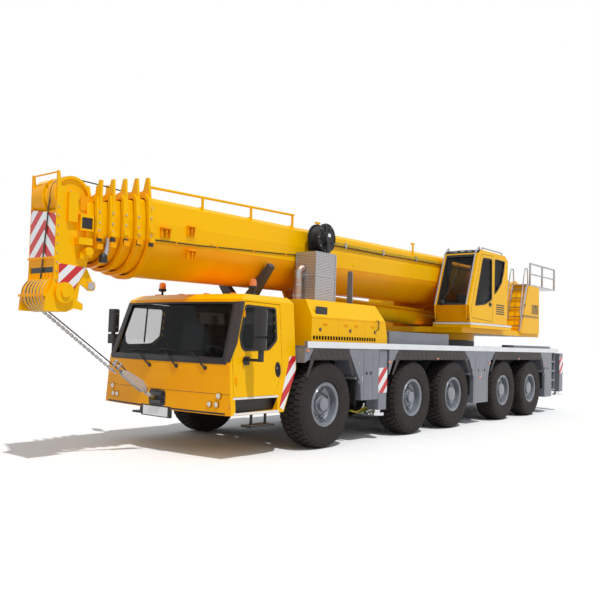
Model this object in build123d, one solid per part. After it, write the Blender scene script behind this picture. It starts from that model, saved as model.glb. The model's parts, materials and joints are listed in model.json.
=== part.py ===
from build123d import *
import os
from math import atan2, cos, degrees, hypot, radians, sin, sqrt

# Five-axle all-terrain mobile crane with a six-part telescopic boom, in millimetres.
# While it is built, X counts forward from the first axle, Y to the crane's left and Z up from the ground.
# At the end everything moves along X, so that the origin is on the ground below the middle of its length.

# ---- carrier ----
HALF_WIDTH = 1500
AXLES = (0, -2700, -4350, -6840, -8490)
STEERED = (0, 1)
TYRE_RADIUS = 685
TYRE_WIDTH = 440
TYRE_INSET = 20
HALF_TRACK = HALF_WIDTH - TYRE_INSET - TYRE_WIDTH / 2
RIM_RADIUS = 345
RIM_BARREL = 312
RIM_WALL = 14
SPINDLE_RADIUS = 60
RUNNING_GAP = 1
MOVING_GAP = 8

DECK_BOTTOM = 1570
DECK_TOP = 1670
DECK_PLATE = 30
DECK_FRONT = 550
DECK_REAR = -10400
SKIRT_LOW = 1382
SKIRT_DEPTH = 390
SKIRT_INSET = 10
BOX_IN = HALF_WIDTH - SKIRT_INSET - SKIRT_DEPTH

FRAME_HALF = 450
FRAME_LOW = 950
FRAME_FRONT = 1900
NOSE_LOW = 640
NOSE_HIGH = 830
RAIL_WIDTH = 70
RAIL_HIGH = 1150
GIRDER_FRONT = -1900
GIRDER_REAR = -10150

BEAM_WIDTH = 300
BEAM_PITCH = 350
BEAM_HEIGHT = 410
FRONT_BEAM_X = -1625
FRONT_BEAM_Z = 1030
REAR_BEAM_X = -10675
REAR_BEAM_Z = 1230
JACK_Y = HALF_WIDTH - 150
JACK_SIDE = 250
JACK_LOW = 520
JACK_ROD = 75
PAD_RADIUS = 140
PAD_THICK = 50
BOX_WALL = 25

# ---- driver's cab ----
CAB_FRONT = 2050
CAB_BULGE = 120
CAB_REAR = 620
CAB_LOW = 620
CAB_FLOOR = 900
CAB_ROOF = 2320
CAB_WALL = 45
GLASS = 10
DOOR_GAP = 8

# ---- crane cab ----
CRANE_CAB_IN = 620
CRANE_CAB_OUT = 1450
CRANE_CAB_LOW = 2190

# ---- superstructure ----
SLEW_X = -6300
RING_RADIUS = 880
RING_SEAT = 1800
PLATE_LOW = 1960
PLATE_TOP = 2080
CHEEK_IN = 560
CHEEK_OUT = 600
PIVOT_X = -9600
PIVOT_Z = 3150
PIVOT_PIN = 90
FOOT_X = -6200
FOOT_Z = 2270

# ---- boom, in its own frame: x along it from the pivot, z square to it ----
BOOM_DROOP = 0.85
BOOM_HALF = 530
BOOM_TOP = 605
BOOM_BELLY = -472
BOOM_CREASE = 5
BOOM_BEND = 265
BOOM_CORNER = 60
BOOM_WALL = 12
BOOM_STEP = 38
BASE_REAR = 650
BASE_FRONT = 12510
COLLAR_PITCH = 180
COLLAR_LENGTH = 70
COLLAR_PROUD = 40
SECTIONS = 5
TUCK_PITCH = 60
ROD_EYE_X = 8610
ROD_EYE_Z = -662
BARREL_RADIUS = 165
BARREL_LENGTH = 4750
ROD_RADIUS = 110
PIPE_RADIUS = 24


# ---- small helpers ----
def block(x0, x1, y0, y1, z0, z1):
    """Box between two corners."""
    return Pos((x0 + x1) / 2, (y0 + y1) / 2, (z0 + z1) / 2) * Box(abs(x1 - x0), abs(y1 - y0), abs(z1 - z0))


def side_prism(points, y0, y1):
    """Outline of (x, z) points, from y0 to y1."""
    face = make_face(Polyline(*[(x, y0, z) for x, z in points], close=True))
    return extrude(face, amount=y1 - y0, dir=(0, 1, 0))


def front_prism(points, x0, x1):
    """Outline of (y, z) points, from x0 to x1."""
    face = make_face(Polyline(*[(x0, y, z) for y, z in points], close=True))
    return extrude(face, amount=x1 - x0, dir=(1, 0, 0))


def rod_y(x, z, radius, y0, y1):
    """Cylinder along Y."""
    return Pos(x, (y0 + y1) / 2, z) * Rot(90, 0, 0) * Cylinder(radius, y1 - y0)


def rod_x(y, z, radius, x0, x1):
    """Cylinder along X."""
    return Pos((x0 + x1) / 2, y, z) * Rot(0, 90, 0) * Cylinder(radius, x1 - x0)


def rod_z(x, y, radius, z0, z1):
    """Cylinder along Z."""
    return Pos(x, y, (z0 + z1) / 2) * Cylinder(radius, z1 - z0)


def bar(start, end, radius):
    """Round bar between two points."""
    run = Vector(*end) - Vector(*start)
    return Plane(origin=start, z_dir=run) * Pos(0, 0, run.length / 2) * Cylinder(radius, run.length)


def rail(points, radius):
    """Bent round bar through the points."""
    run = Vector(*points[1]) - Vector(*points[0])
    section = Plane(origin=points[0], z_dir=run) * Circle(radius)
    return sweep(section, path=Polyline(*points), transition=Transition.RIGHT)


def flip(shape):
    """The same piece on the crane's right side."""
    return mirror(shape, about=Plane.XZ)


def both(shape):
    """A piece and its mirror image."""
    return shape + flip(shape)


def turned(points):
    """Revolve of (radius, y) points about the Y axis."""
    face = make_face(Polyline(*[(r, y) for r, y in points], close=True))
    return revolve(face, axis=Axis.Y)


# ---- wheels and axles ----
def tyre():
    """Tyre about the Y axis, its outer side towards +Y."""
    half = TYRE_WIDTH / 2
    bead = RIM_BARREL + RUNNING_GAP / 4
    seat = half - 62
    # radius, y of the outer half; the inner half mirrors it
    outer = ((TYRE_RADIUS, half - 60), (TYRE_RADIUS - 35, half - 18), (TYRE_RADIUS - 130, half),
             (RIM_RADIUS + 30, half - 12), (RIM_RADIUS, half - 44), (bead, seat))
    return turned(outer + tuple((r, -y) for r, y in reversed(outer)))


def rim():
    """Deep-dished rim and its hub about the Y axis, its outer side towards +Y."""
    half = TYRE_WIDTH / 2
    seat = half - 62
    inner = RIM_BARREL - RIM_WALL
    bore = SPINDLE_RADIUS + RUNNING_GAP
    # radius, y
    profile = (
        (0, 175), (105, 175), (145, 145), (160, 70), (inner, 60), (inner, half - 38), (RIM_RADIUS, half - 30),
        (RIM_RADIUS, half - 44), (RIM_BARREL, seat), (RIM_BARREL, -seat), (RIM_RADIUS, 44 - half),
        (RIM_RADIUS, 30 - half), (inner, 38 - half), (inner, 35), (130, 35), (130, -55), (bore, -55), (bore, 60),
        (0, 60),
    )
    return turned(profile)


KINGPIN_Y = HALF_TRACK - 240
KINGPIN_RADIUS = 32
KNUCKLE_HALF = 150
YOKE_ARM = 50
STRUT_Y = FRAME_HALF + 190
DRUM_RADIUS = 145
DRUM_INNER = HALF_TRACK - 185
SHAFT_RADIUS = 45
HEAD_DEPTH = 225


def knuckle():
    """Steering knuckle of a left wheel: kingpin housing, brake drum face and spindle."""
    tall = 2 * KNUCKLE_HALF
    housing = rod_z(0, KINGPIN_Y, 70, TYRE_RADIUS - KNUCKLE_HALF, TYRE_RADIUS - KNUCKLE_HALF + tall)
    drum = rod_y(0, TYRE_RADIUS, DRUM_RADIUS, DRUM_INNER, HALF_TRACK - 65)
    spindle = rod_y(0, TYRE_RADIUS, SPINDLE_RADIUS, KINGPIN_Y, HALF_TRACK + 55)
    arm = block(-260, 0, KINGPIN_Y - 30, KINGPIN_Y + 30, TYRE_RADIUS - 110, TYRE_RADIUS - 70)
    bore = rod_z(0, KINGPIN_Y, KINGPIN_RADIUS, 0, 2 * TYRE_RADIUS)
    return housing + drum + spindle + arm - bore


def axle(steered):
    """One axle about X = 0: tube, drive head, spring struts and what carries its wheels."""
    end = KINGPIN_Y - 80 - MOVING_GAP if steered else HALF_TRACK - 65
    tube = rod_y(0, TYRE_RADIUS, 105, -end, end)
    # radius, y of the drive head round the differential
    head = Pos(0, 0, TYRE_RADIUS) * turned(((0, -200), (110, -200), (200, -110), (HEAD_DEPTH, 0), (200, 110), (110, 200),
                                            (0, 200)))
    solid = tube + head
    for side in (-1, 1):
        strut = rod_z(0, side * STRUT_Y, 60, TYRE_RADIUS, RAIL_HIGH)
        hanger = block(-90, 90, side * FRAME_HALF, side * (STRUT_Y + 70), FRAME_LOW + 20, RAIL_HIGH)
        solid += strut + hanger
        if steered:
            low = TYRE_RADIUS - KNUCKLE_HALF - MOVING_GAP
            high = TYRE_RADIUS + KNUCKLE_HALF + MOVING_GAP
            back = block(-60, 60, side * (end - 60), side * end, low - YOKE_ARM, high + YOKE_ARM)
            lower = block(-60, 60, side * (end - 60), side * (KINGPIN_Y + 50), low - YOKE_ARM, low)
            upper = block(-60, 60, side * (end - 60), side * (KINGPIN_Y + 50), high, high + YOKE_ARM)
            pin = rod_z(0, side * KINGPIN_Y, KINGPIN_RADIUS - RUNNING_GAP, low, high)
            solid += back + lower + upper + pin
        else:
            drum = rod_y(0, TYRE_RADIUS, DRUM_RADIUS, DRUM_INNER, end)
            drum += rod_y(0, TYRE_RADIUS, SPINDLE_RADIUS, 0, HALF_TRACK + 55)
            solid += drum if side > 0 else flip(drum)
    return solid


def axle_beams():
    """All five axles, each but the first with the drive shaft that runs forward to the one ahead."""
    found = []
    for i, x in enumerate(AXLES):
        solid = Pos(x, 0, 0) * axle(i in STEERED)
        if i:
            solid += rod_x(0, TYRE_RADIUS, SHAFT_RADIUS, x, AXLES[i - 1] - HEAD_DEPTH - MOVING_GAP)
        found.append(solid)
    return Compound(found)


# ---- chassis ----
def outrigger_housing(beam_x, beam_z):
    """Cross box with one tunnel for the left beam and, ahead of it, one for the right beam."""
    low = beam_z - BEAM_HEIGHT / 2 - MOVING_GAP - BOX_WALL
    high = beam_z + BEAM_HEIGHT / 2 + MOVING_GAP + BOX_WALL
    reach = BOX_IN
    ahead = beam_x + BEAM_PITCH + BEAM_WIDTH / 2 + BOX_WALL
    behind = beam_x - BEAM_WIDTH / 2 - BOX_WALL
    box = block(behind, ahead, -reach, reach, low, high)
    for x in (beam_x, beam_x + BEAM_PITCH):
        half = BEAM_WIDTH / 2 + MOVING_GAP
        box -= block(x - half, x + half, -HALF_WIDTH, HALF_WIDTH, low + BOX_WALL, high - BOX_WALL)
    return box


def outrigger_beam(beam_x, beam_z):
    """Left outrigger beam with its jack's guide at the outer end."""
    inner = 40 - BOX_IN
    beam = block(beam_x - BEAM_WIDTH / 2, beam_x + BEAM_WIDTH / 2, inner, JACK_Y, beam_z - BEAM_HEIGHT / 2,
                 beam_z + BEAM_HEIGHT / 2)
    guide = block(beam_x - JACK_SIDE / 2, beam_x + JACK_SIDE / 2, JACK_Y - JACK_SIDE / 2, JACK_Y + JACK_SIDE / 2,
                  JACK_LOW, DECK_BOTTOM - 15)
    bore = rod_z(beam_x, JACK_Y, JACK_ROD + RUNNING_GAP, JACK_LOW - 10, DECK_BOTTOM - 60)
    return beam + guide - bore


def outrigger_jack(beam_x):
    """Jack rod and its foot plate."""
    rod = rod_z(beam_x, JACK_Y, JACK_ROD, JACK_LOW - 50, DECK_BOTTOM - 80)
    foot = rod_z(beam_x, JACK_Y, PAD_RADIUS, JACK_LOW - 50 - PAD_THICK, JACK_LOW - 50)
    return rod + foot


def boom_height(x):
    """Height of the boom's axis line above the ground at x."""
    return PIVOT_Z - (x - PIVOT_X) * sin(radians(BOOM_DROOP)) / cos(radians(BOOM_DROOP))


REST_X = 480
REST_HALF = 55
REST_LEG = 300


def boom_rest():
    """V-shaped cradle on two legs, which the boom lies in on the road."""
    # The boom's lower shell is an arc of this radius about this height.
    radius = (BOOM_HALF ** 2 + (BOOM_CREASE - BOOM_BELLY) ** 2) / (2 * (BOOM_CREASE - BOOM_BELLY))
    centre = boom_height(REST_X) + BOOM_BELLY + radius
    tangent = centre - sqrt(2) * (radius + COLLAR_PROUD / 2)
    inner, outer, deep = 90, 620, 130
    arm = front_prism(
        ((0, tangent + inner), (inner, tangent + inner), (outer, tangent + outer), (outer + 60, tangent + outer - 60),
         (REST_LEG + 60, tangent + 120), (0, tangent + inner - deep)),
        REST_X - REST_HALF, REST_X + REST_HALF)
    leg = block(REST_X - 45, REST_X + 45, REST_LEG - 45, REST_LEG + 45, RAIL_HIGH, tangent + 200)
    foot = block(REST_X - 45, REST_X + 45, REST_LEG - 45, FRAME_HALF, RAIL_HIGH, RAIL_HIGH + 60)
    return both(arm + leg + foot)


def chassis_frame():
    """Front rails, rear box girder, both outrigger boxes, slewing ring seat and couplings."""
    rails = both(side_prism(((GIRDER_FRONT, FRAME_LOW), (300, FRAME_LOW), (480, NOSE_LOW), (FRAME_FRONT, NOSE_LOW),
                             (FRAME_FRONT, NOSE_HIGH), (600, NOSE_HIGH), (540, RAIL_HIGH), (GIRDER_FRONT, RAIL_HIGH)),
                            FRAME_HALF - RAIL_WIDTH, FRAME_HALF))
    girder = block(GIRDER_REAR, GIRDER_FRONT, -FRAME_HALF, FRAME_HALF, FRAME_LOW, DECK_BOTTOM)
    seat = rod_z(SLEW_X, 0, RING_RADIUS, DECK_BOTTOM - 120, RING_SEAT)
    front_low = FRONT_BEAM_Z - BEAM_HEIGHT / 2
    front_box = outrigger_housing(FRONT_BEAM_X, FRONT_BEAM_Z)
    rear_box = outrigger_housing(REAR_BEAM_X, REAR_BEAM_Z)
    cut = block(FRONT_BEAM_X - BEAM_WIDTH / 2, FRONT_BEAM_X + BEAM_PITCH + BEAM_WIDTH / 2, -HALF_WIDTH, HALF_WIDTH,
                front_low, front_low + BEAM_HEIGHT)
    nose = block(FRAME_FRONT - 120, FRAME_FRONT, -FRAME_HALF, FRAME_HALF, NOSE_LOW, NOSE_HIGH)
    frame = rails - cut
    for x in (200, -620):
        frame += block(x - 40, x + 40, -FRAME_HALF, FRAME_HALF, FRAME_LOW, FRAME_LOW + 60)
    frame += girder + seat + front_box + rear_box + nose
    frame += rear_end()
    return Compound([frame, front_coupling(), rear_coupling()])


COUPLING_X = 2080
COUPLING_Z = 780
COUPLING_PIN = 26
# gap where a coupling is bolted to the frame
JOINT_LINE = 1


def front_coupling():
    """Towing jaw in the middle of the cab's front, held by the frame's nose."""
    bar = block(FRAME_FRONT + JOINT_LINE, COUPLING_X, -90, 90, COUPLING_Z - 45, COUPLING_Z + 45)
    jaw = block(COUPLING_X - 20, COUPLING_X + 130, -110, 110, COUPLING_Z - 80, COUPLING_Z + 80)
    gap = block(COUPLING_X + 20, COUPLING_X + 200, -200, 200, COUPLING_Z - 35, COUPLING_Z + 35)
    bore = rod_z(COUPLING_X + 80, 0, COUPLING_PIN, COUPLING_Z - 200, COUPLING_Z + 200)
    return bar + jaw - gap - bore


REAR_END = -10850
HITCH_REAR = -11000
HITCH_Z = 800


def rear_end():
    """Rear cross beam with its bumper."""
    cross = block(REAR_END, GIRDER_REAR, -FRAME_HALF, FRAME_HALF, DECK_BOTTOM - 120, DECK_BOTTOM)
    bumper = block(REAR_END - 60, REAR_END, -1150, 1150, 700, 820)
    hangers = both(block(REAR_END - 30, REAR_END, 300, 420, 700, DECK_BOTTOM - 60))
    notch = block(REAR_END - 100, REAR_END + 10, -90 - JOINT_LINE, 90 + JOINT_LINE, HITCH_Z - 70 - JOINT_LINE,
                  HITCH_Z + 110 + JOINT_LINE)
    return cross + bumper + hangers - notch


def rear_coupling():
    """Trailer coupling behind the rear bumper."""
    hitch = block(HITCH_REAR, REAR_END - JOINT_LINE, -90, 90, HITCH_Z - 70, HITCH_Z + 110)
    slot = block(HITCH_REAR - 10, HITCH_REAR + 110, -200, 200, HITCH_Z - 20, HITCH_Z + 60)
    bore = rod_z(HITCH_REAR + 50, 0, COUPLING_PIN, HITCH_Z - 200, HITCH_Z + 300)
    return hitch - slot - bore


# ---- side decks ----
# Arches: x of the panel's top, its foot, the slope's end and the post, ahead of and behind each wheel group.
ARCHES = (
    # top ahead, foot ahead, top behind, foot behind
    (370, 510, -540, -660),
    (-2140, -1940, -4760, -5000),
    (-6320, -6080, -9090, -9240),
)
SLOPE_Z = 1010


# x, z of the amber side lamps
SIDE_LAMPS = ((541, 1530), (-1810, 1348), (-3587, 1402), (-5503, 1012), (-6006, 1313), (-7659, 1402), (-9388, 1299))
# x of the seams between the side boxes' doors and panels
SEAMS = (-1010, -1280, -5280, -5860, -9480)
LADDER_FRONT = -9890
LADDER_REAR = -10150
LADDER_LOW = 560
LADDER_STEP = 245


def side_box(outline, y0=BOX_IN):
    """Storage box between two wheel groups."""
    return side_prism(outline, y0, HALF_WIDTH - SKIRT_INSET)


def side_ladder():
    """Boarding ladder behind the last wheel: two stiles under the deck and four treads."""
    outer = HALF_WIDTH - SKIRT_INSET
    ladder = None
    for x in (LADDER_FRONT, LADDER_REAR):
        stile = block(x - 15, x + 15, outer - 60, outer - 20, LADDER_LOW, DECK_BOTTOM)
        ladder = stile if ladder is None else ladder + stile
    for i in range(4):
        z = LADDER_LOW + 20 + LADDER_STEP * i
        ladder += block(LADDER_REAR, LADDER_FRONT, outer - 110, outer, z, z + 35)
    return ladder


def side_deck(jack_front):
    """Deck, skirts and boxes of the left side, for a front jack at jack_front."""
    outer = HALF_WIDTH - SKIRT_INSET
    plate = block(DECK_REAR, DECK_FRONT, FRAME_HALF, outer, DECK_BOTTOM, DECK_BOTTOM + DECK_PLATE)
    edge = block(DECK_REAR, DECK_FRONT, HALF_WIDTH - 60, HALF_WIDTH, DECK_BOTTOM, DECK_TOP)
    deck = plate + edge
    for top_a, foot_a, top_b, foot_b in ARCHES:
        deck += side_prism(((top_a, DECK_BOTTOM), (foot_a, SKIRT_LOW), (foot_b, SKIRT_LOW), (top_b, DECK_BOTTOM)),
                           outer - 30, outer - 18)
        ridge = (DECK_BOTTOM + SKIRT_LOW) / 2 + 25
        deck += block((top_b + foot_b) / 2, (top_a + foot_a) / 2, outer - 20, outer - 8, ridge, ridge + 14)
    half = BEAM_WIDTH / 2 + MOVING_GAP
    ahead_of_jack = jack_front + half
    behind_jack = jack_front - half
    deck += side_box(((-540, DECK_BOTTOM), (-660, SKIRT_LOW), (-910, SLOPE_Z), (-940, 710),
                      (ahead_of_jack, 710), (ahead_of_jack, DECK_BOTTOM)))
    if behind_jack > -1700:
        deck += side_box(((behind_jack, 710), (-1790, 710), (-1790, DECK_BOTTOM), (behind_jack, DECK_BOTTOM)))
    deck += side_box(((-1800, DECK_BOTTOM), (-1800, 1120), (-1940, SKIRT_LOW), (-2140, DECK_BOTTOM)))
    deck += side_box(((-4760, DECK_BOTTOM), (-5000, SKIRT_LOW), (-5210, SLOPE_Z), (-5210, 460), (-5930, 460),
                      (-5930, SLOPE_Z), (-6080, SKIRT_LOW), (-6320, DECK_BOTTOM)))
    deck += side_box(((-9090, DECK_BOTTOM), (-9240, SKIRT_LOW), (-9400, SLOPE_Z), (-9400, 420), (-9900, 420),
                      (-9900, DECK_BOTTOM)))
    deck += side_box(((370, DECK_BOTTOM), (510, SKIRT_LOW), (600, SKIRT_LOW - 40), (600, DECK_BOTTOM)), outer - 200)
    deck += block(-4600, -2250, 700, 1200, DECK_BOTTOM + DECK_PLATE, DECK_BOTTOM + 330)
    deck += block(-10300, -7800, 1000, 1300, DECK_BOTTOM + DECK_PLATE, DECK_BOTTOM + 160)
    deck += side_ladder()
    for x, z in SIDE_LAMPS:
        deck += block(x - 38, x + 38, outer - 30, HALF_WIDTH, z - 20, z + 20)
    for x in SEAMS:
        deck -= block(x - 4, x + 4, outer - 6, HALF_WIDTH - 2, 300, SKIRT_LOW + 100)
    return deck - rod_z(SLEW_X, 0, RING_RADIUS, DECK_BOTTOM - 200, RING_SEAT)


def side_decks():
    """Both sides; the right front jack stands one beam pitch further forward."""
    left = side_deck(FRONT_BEAM_X)
    right = flip(side_deck(FRONT_BEAM_X + BEAM_PITCH))
    return Compound([left, right])


# ---- engine bay ----
HOOD_SIDE = HALF_WIDTH - 100
HOOD_TOP = 2330
HOOD_TROUGH = 360


def hood_body(inset):
    """Hood's outer form, drawn in by inset."""
    side = side_prism(((340 - inset, 1500), (340 - inset, HOOD_TOP - inset), (-1650 + inset, HOOD_TOP - inset),
                       (-1780 + inset, 2050), (-1850 + inset, 1790), (-1850 + inset, 1500)),
                      -HALF_WIDTH, HALF_WIDTH)
    edge = HOOD_SIDE - inset
    trough = HOOD_TROUGH + inset
    front = front_prism(((-edge, 1500), (-edge, 2060), (-edge + 140, HOOD_TOP - inset), (-trough, HOOD_TOP - inset),
                         (-trough, 2020 - inset), (trough, 2020 - inset), (trough, HOOD_TOP - inset),
                         (edge - 140, HOOD_TOP - inset), (edge, 2060), (edge, 1500)), -2000, 500)
    return side & front


LOUVRE_FRONT = 300
LOUVRE_REAR = -1500
LOUVRE_PITCH = 75
LOUVRE_WIDE = 50
LOUVRE_Z = 1700
HOOD_SEAMS = (-368, -1131)
SWAGE_Z = 2030


def engine_hood():
    """Sheet hood over the engine, with a trough under the boom, panel seams and a row of louvres on each side."""
    above = block(-2000, 500, -HALF_WIDTH, HALF_WIDTH, DECK_BOTTOM + DECK_PLATE, 3000)
    hood = (hood_body(0) - hood_body(35)) & above
    side = HOOD_SIDE
    slots = None
    for i in range(int((LOUVRE_FRONT - LOUVRE_REAR) / LOUVRE_PITCH)):
        x = LOUVRE_FRONT - i * LOUVRE_PITCH
        slot = block(x - LOUVRE_WIDE, x, side - 60, side + 20, LOUVRE_Z, LOUVRE_Z + 60)
        slots = slot if slots is None else slots + slot
    for x in HOOD_SEAMS:
        slots += block(x - 4, x + 4, side - 8, side + 20, DECK_TOP, HOOD_TOP)
    slots += block(-2000, 500, side - 8, side + 20, SWAGE_Z, SWAGE_Z + 10)
    return hood - slots - flip(slots)


ENGINE = (-900, 300, 370, FRAME_LOW + 60, 1850)


def engine_block():
    """The engine as one plain block between the frame rails."""
    x0, x1, half, z0, z1 = ENGINE
    return block(x0, x1, -half, half, z0, z1)


GUARD = (-800, -250, 575, 985)
GUARD_TOP = 3170
GUARD_WALL = 8


def exhaust_guard():
    """Box guard round the exhaust stack, open at the top, with the pipe beside it."""
    x0, x1, y0, y1 = GUARD
    shell = block(x0, x1, y0, y1, HOOD_TOP, GUARD_TOP)
    shell -= block(x0 + GUARD_WALL, x1 - GUARD_WALL, y0 + GUARD_WALL, y1 - GUARD_WALL, HOOD_TOP + GUARD_WALL,
                   GUARD_TOP + 10)
    x = (x0 + x1) / 2
    y = (y0 + y1) / 2
    stack = rod_z(x, y, 130, HOOD_TOP + GUARD_WALL, GUARD_TOP - 60)
    pipe = rod_z(x1 + 95, y0 + 120, 75, HOOD_TOP, GUARD_TOP - 320)
    pipe += rod_x(y0 + 120, GUARD_TOP - 395, 75, x1, x1 + 95) + Pos(x1 + 95, y0 + 120, GUARD_TOP - 395) * Sphere(75)
    pipe += rod_z(x1 + 95, y0 + 120, 75, GUARD_TOP - 395, GUARD_TOP - 320)
    return shell + stack + pipe


# ---- driver's cab ----
# height, x of the front corner, half width, x of the rear wall
CAB_SECTIONS = (
    (CAB_LOW, 0, 1400, 0),
    (1310, 0, 1337, 0),
    (2240, -290, 1253, 0),
    (CAB_ROOF, -430, 1170, 60),
)


def cab_body(inset):
    """Cab's outer form, drawn in by inset."""
    bodies = []
    sections = []
    for z, back, half, rear in CAB_SECTIONS:
        height = min(max(z, CAB_LOW + inset), CAB_ROOF - inset)
        corner = CAB_FRONT + back - inset
        hw = half - inset
        outline = (Line((CAB_REAR + rear + inset, hw, height), (corner, hw, height))
                   + ThreePointArc((corner, hw, height), (corner + CAB_BULGE, 0, height), (corner, -hw, height))
                   + Line((corner, -hw, height), (CAB_REAR + rear + inset, -hw, height))
                   + Line((CAB_REAR + rear + inset, -hw, height), (CAB_REAR + rear + inset, hw, height)))
        sections.append(make_face(outline))
    for low, high in zip(sections, sections[1:]):
        bodies.append(loft([low, high], ruled=True))
    body = bodies[0]
    for more in bodies[1:]:
        body += more
    return body


# Rear lower corner, cut off for the front wheel: x, z
CAB_ARCH = ((0, 0), (950, 0), (950, 620), (600, 1290), (570, 1440), (0, 1440))


def cab_hollow():
    """Space inside the cab's walls."""
    arch = side_prism([(x + CAB_WALL if x else x, z + CAB_WALL if z == 1440 else z) for x, z in CAB_ARCH],
                      -HALF_WIDTH, HALF_WIDTH)
    above = block(0, 3000, -HALF_WIDTH, HALF_WIDTH, CAB_FLOOR, 3000)
    return (cab_body(CAB_WALL) & above) - arch


# x, z
DOOR_OUTLINE = ((950, 1200), (950, 2195), (1700, 2205), (1880, 1600), (1985, 1450), (1985, 870), (1150, 870))
DOOR_WINDOW = ((1050, 1670), (1050, 2140), (1690, 2150), (1830, 1700), (1800, 1560), (1740, 1510), (1230, 1530))
# y, z
SCREEN = ((-1230, 1350), (-1145, 2190), (1145, 2190), (1230, 1350))
REAR_WINDOW = ((-900, 1650), (-900, 2100), (900, 2100), (900, 1650))


def grown(points, amount):
    """Outline of (a, b) points, grown all round by amount."""
    face = make_face(Polyline(*points, close=True))
    wider = offset(face, amount=amount, kind=Kind.INTERSECTION)
    edges = wider.face().outer_wire().order_edges()
    return [((edge @ 0).X, (edge @ 0).Y) for edge in edges]


def cab_skin(depth0, depth1):
    """Layer of the cab's wall between two depths below its outer face."""
    return cab_body(depth0) - cab_body(depth1)


def door_prism(points, gap):
    """What a door's outline cuts out of the left wall."""
    return side_prism(grown(points, gap), 1000, HALF_WIDTH)


def driver_cab_shell():
    """Cab's welded shell with its wheel arch, windscreen and door openings, and the steps below the doors."""
    arch = side_prism(CAB_ARCH, -HALF_WIDTH, HALF_WIDTH)
    under = block(CAB_REAR + 100, CAB_FRONT - 120, -1200, 1200, CAB_LOW - 10, CAB_FLOOR - 60)
    body = cab_body(0) - arch - cab_hollow() - under
    body -= block(COUPLING_X - 400, COUPLING_X + 300, -150, 150, CAB_LOW - 10, COUPLING_Z + 120)
    body -= front_prism(SCREEN, 1500, 2400)
    body -= front_prism(REAR_WINDOW, 0, 1000)
    door = door_prism(DOOR_OUTLINE, DOOR_GAP)
    sill = block(SILL_REAR, SILL_FRONT, 1290, HALF_WIDTH, SILL_LOW, SILL_HIGH)
    body = body - door - flip(door) - sill - flip(sill)
    body += both(front_lamps())
    body += both(block(1060, 1570, 1130, 1330, 420, 450) + block(1150, 1180, 1215, 1245, 430, CAB_LOW + 40)
                 + block(1450, 1480, 1215, 1245, 430, CAB_LOW + 40))
    return body


# y, z and radius of the front lamps on the left
FRONT_LAMPS = ((1180, 880, 42), (1030, 760, 38), (1150, 760, 38))
SILL_FRONT = 1960
SILL_REAR = 1080
SILL_LOW = 655
SILL_HIGH = 835


def front_face(y):
    """x of the cab's curved front, below its windscreen."""
    return CAB_FRONT + CAB_BULGE - CAB_BULGE * (y / CAB_SECTIONS[0][2]) ** 2


def front_lamps():
    """Three round lamps with raised rings, left of the towing jaw."""
    found = None
    for y, z, radius in FRONT_LAMPS:
        x = front_face(y)
        ring = rod_x(y, z, radius + 8, x - 60, x + 14) - rod_x(y, z, radius, x + 4, x + 20)
        found = ring if found is None else found + ring
    return found


# x, y of the arm's foot on the door and of the mirror head's middle
MIRROR_FOOT = (1740, 1320)
MIRROR_HEAD = (1790, 1640)
MIRROR_ROUND = 40


def mirror_set():
    """Left mirror head and the arm that holds it to the door below its window."""
    x0, y0 = MIRROR_FOOT
    x1, y1 = MIRROR_HEAD
    head = block(x1 - 25, x1 + 15, y1 - 30, y1 + 30, 1530, 2000)
    for low, high in ((1530, 1690), (1715, 2100)):
        case = block(x1 - 55, x1 + 55, y1 - 90, y1 + 90, low, high)
        head += fillet(case.edges().filter_by(Axis.Z), MIRROR_ROUND)
    arm = block(x0 - 22, x0 + 22, y0 - 20, y1 + 22, 1365, 1405)
    riser = block(x0 - 22, x1, y1 - 22, y1 + 22, 1365, 1560)
    foot = block(x0 - 60, x0 + 60, y0 - 20, y0 + 45, 1310, 1430)
    return head + arm + riser + foot


def glass_layer():
    """Thin layer in the middle of the cab's wall, where its glass sits."""
    return cab_skin(CAB_WALL / 2 - GLASS / 2, CAB_WALL / 2 + GLASS / 2)


def driver_cab_glass():
    """Windscreen and rear window."""
    layer = glass_layer()
    front = layer & front_prism(SCREEN, 1500, 2400)
    rear = layer & front_prism(REAR_WINDOW, 0, 1000)
    return Compound([front, rear])


def driver_door_left():
    """Left door panel with its window cut out and the mirror on its arm."""
    wall = cab_body(0) - cab_body(CAB_WALL)
    door = wall & side_prism(DOOR_OUTLINE, 1000, HALF_WIDTH)
    return door - side_prism(DOOR_WINDOW, 1000, HALF_WIDTH) + mirror_set()


def door_glass_left():
    """Left door's window."""
    return glass_layer() & side_prism(DOOR_WINDOW, 1000, HALF_WIDTH)


def seat(x, y, z):
    """Plain seat: cushion on a plinth, back and headrest."""
    cushion = block(x - 260, x + 240, y - 250, y + 250, z + 300, z + 440)
    plinth = block(x - 180, x + 180, y - 180, y + 180, z, z + 300)
    back = side_prism(((x - 260, z + 360), (x - 150, z + 360), (x - 230, z + 1000), (x - 320, z + 1000)), y - 240,
                      y + 240)
    return cushion + plinth + back


def driver_cab_interior():
    """Two seats, dashboard, column and steering wheel."""
    dash = side_prism(((1600, CAB_FLOOR), (1780, CAB_FLOOR), (1900, 1300), (1750, 1400), (1600, 1250)), -1200, 1200)
    column = Pos(1560, 620, 1330) * Rot(0, -35, 0) * Cylinder(30, 260)
    wheel = Pos(1520, 620, 1430) * Rot(0, -35, 0) * (Cylinder(220, 30) - Cylinder(185, 40) + Cylinder(40, 30)
                                                     + Box(380, 40, 20))
    return Compound([seat(1150, 620, CAB_FLOOR), seat(1150, -620, CAB_FLOOR), dash + column + wheel])


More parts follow.
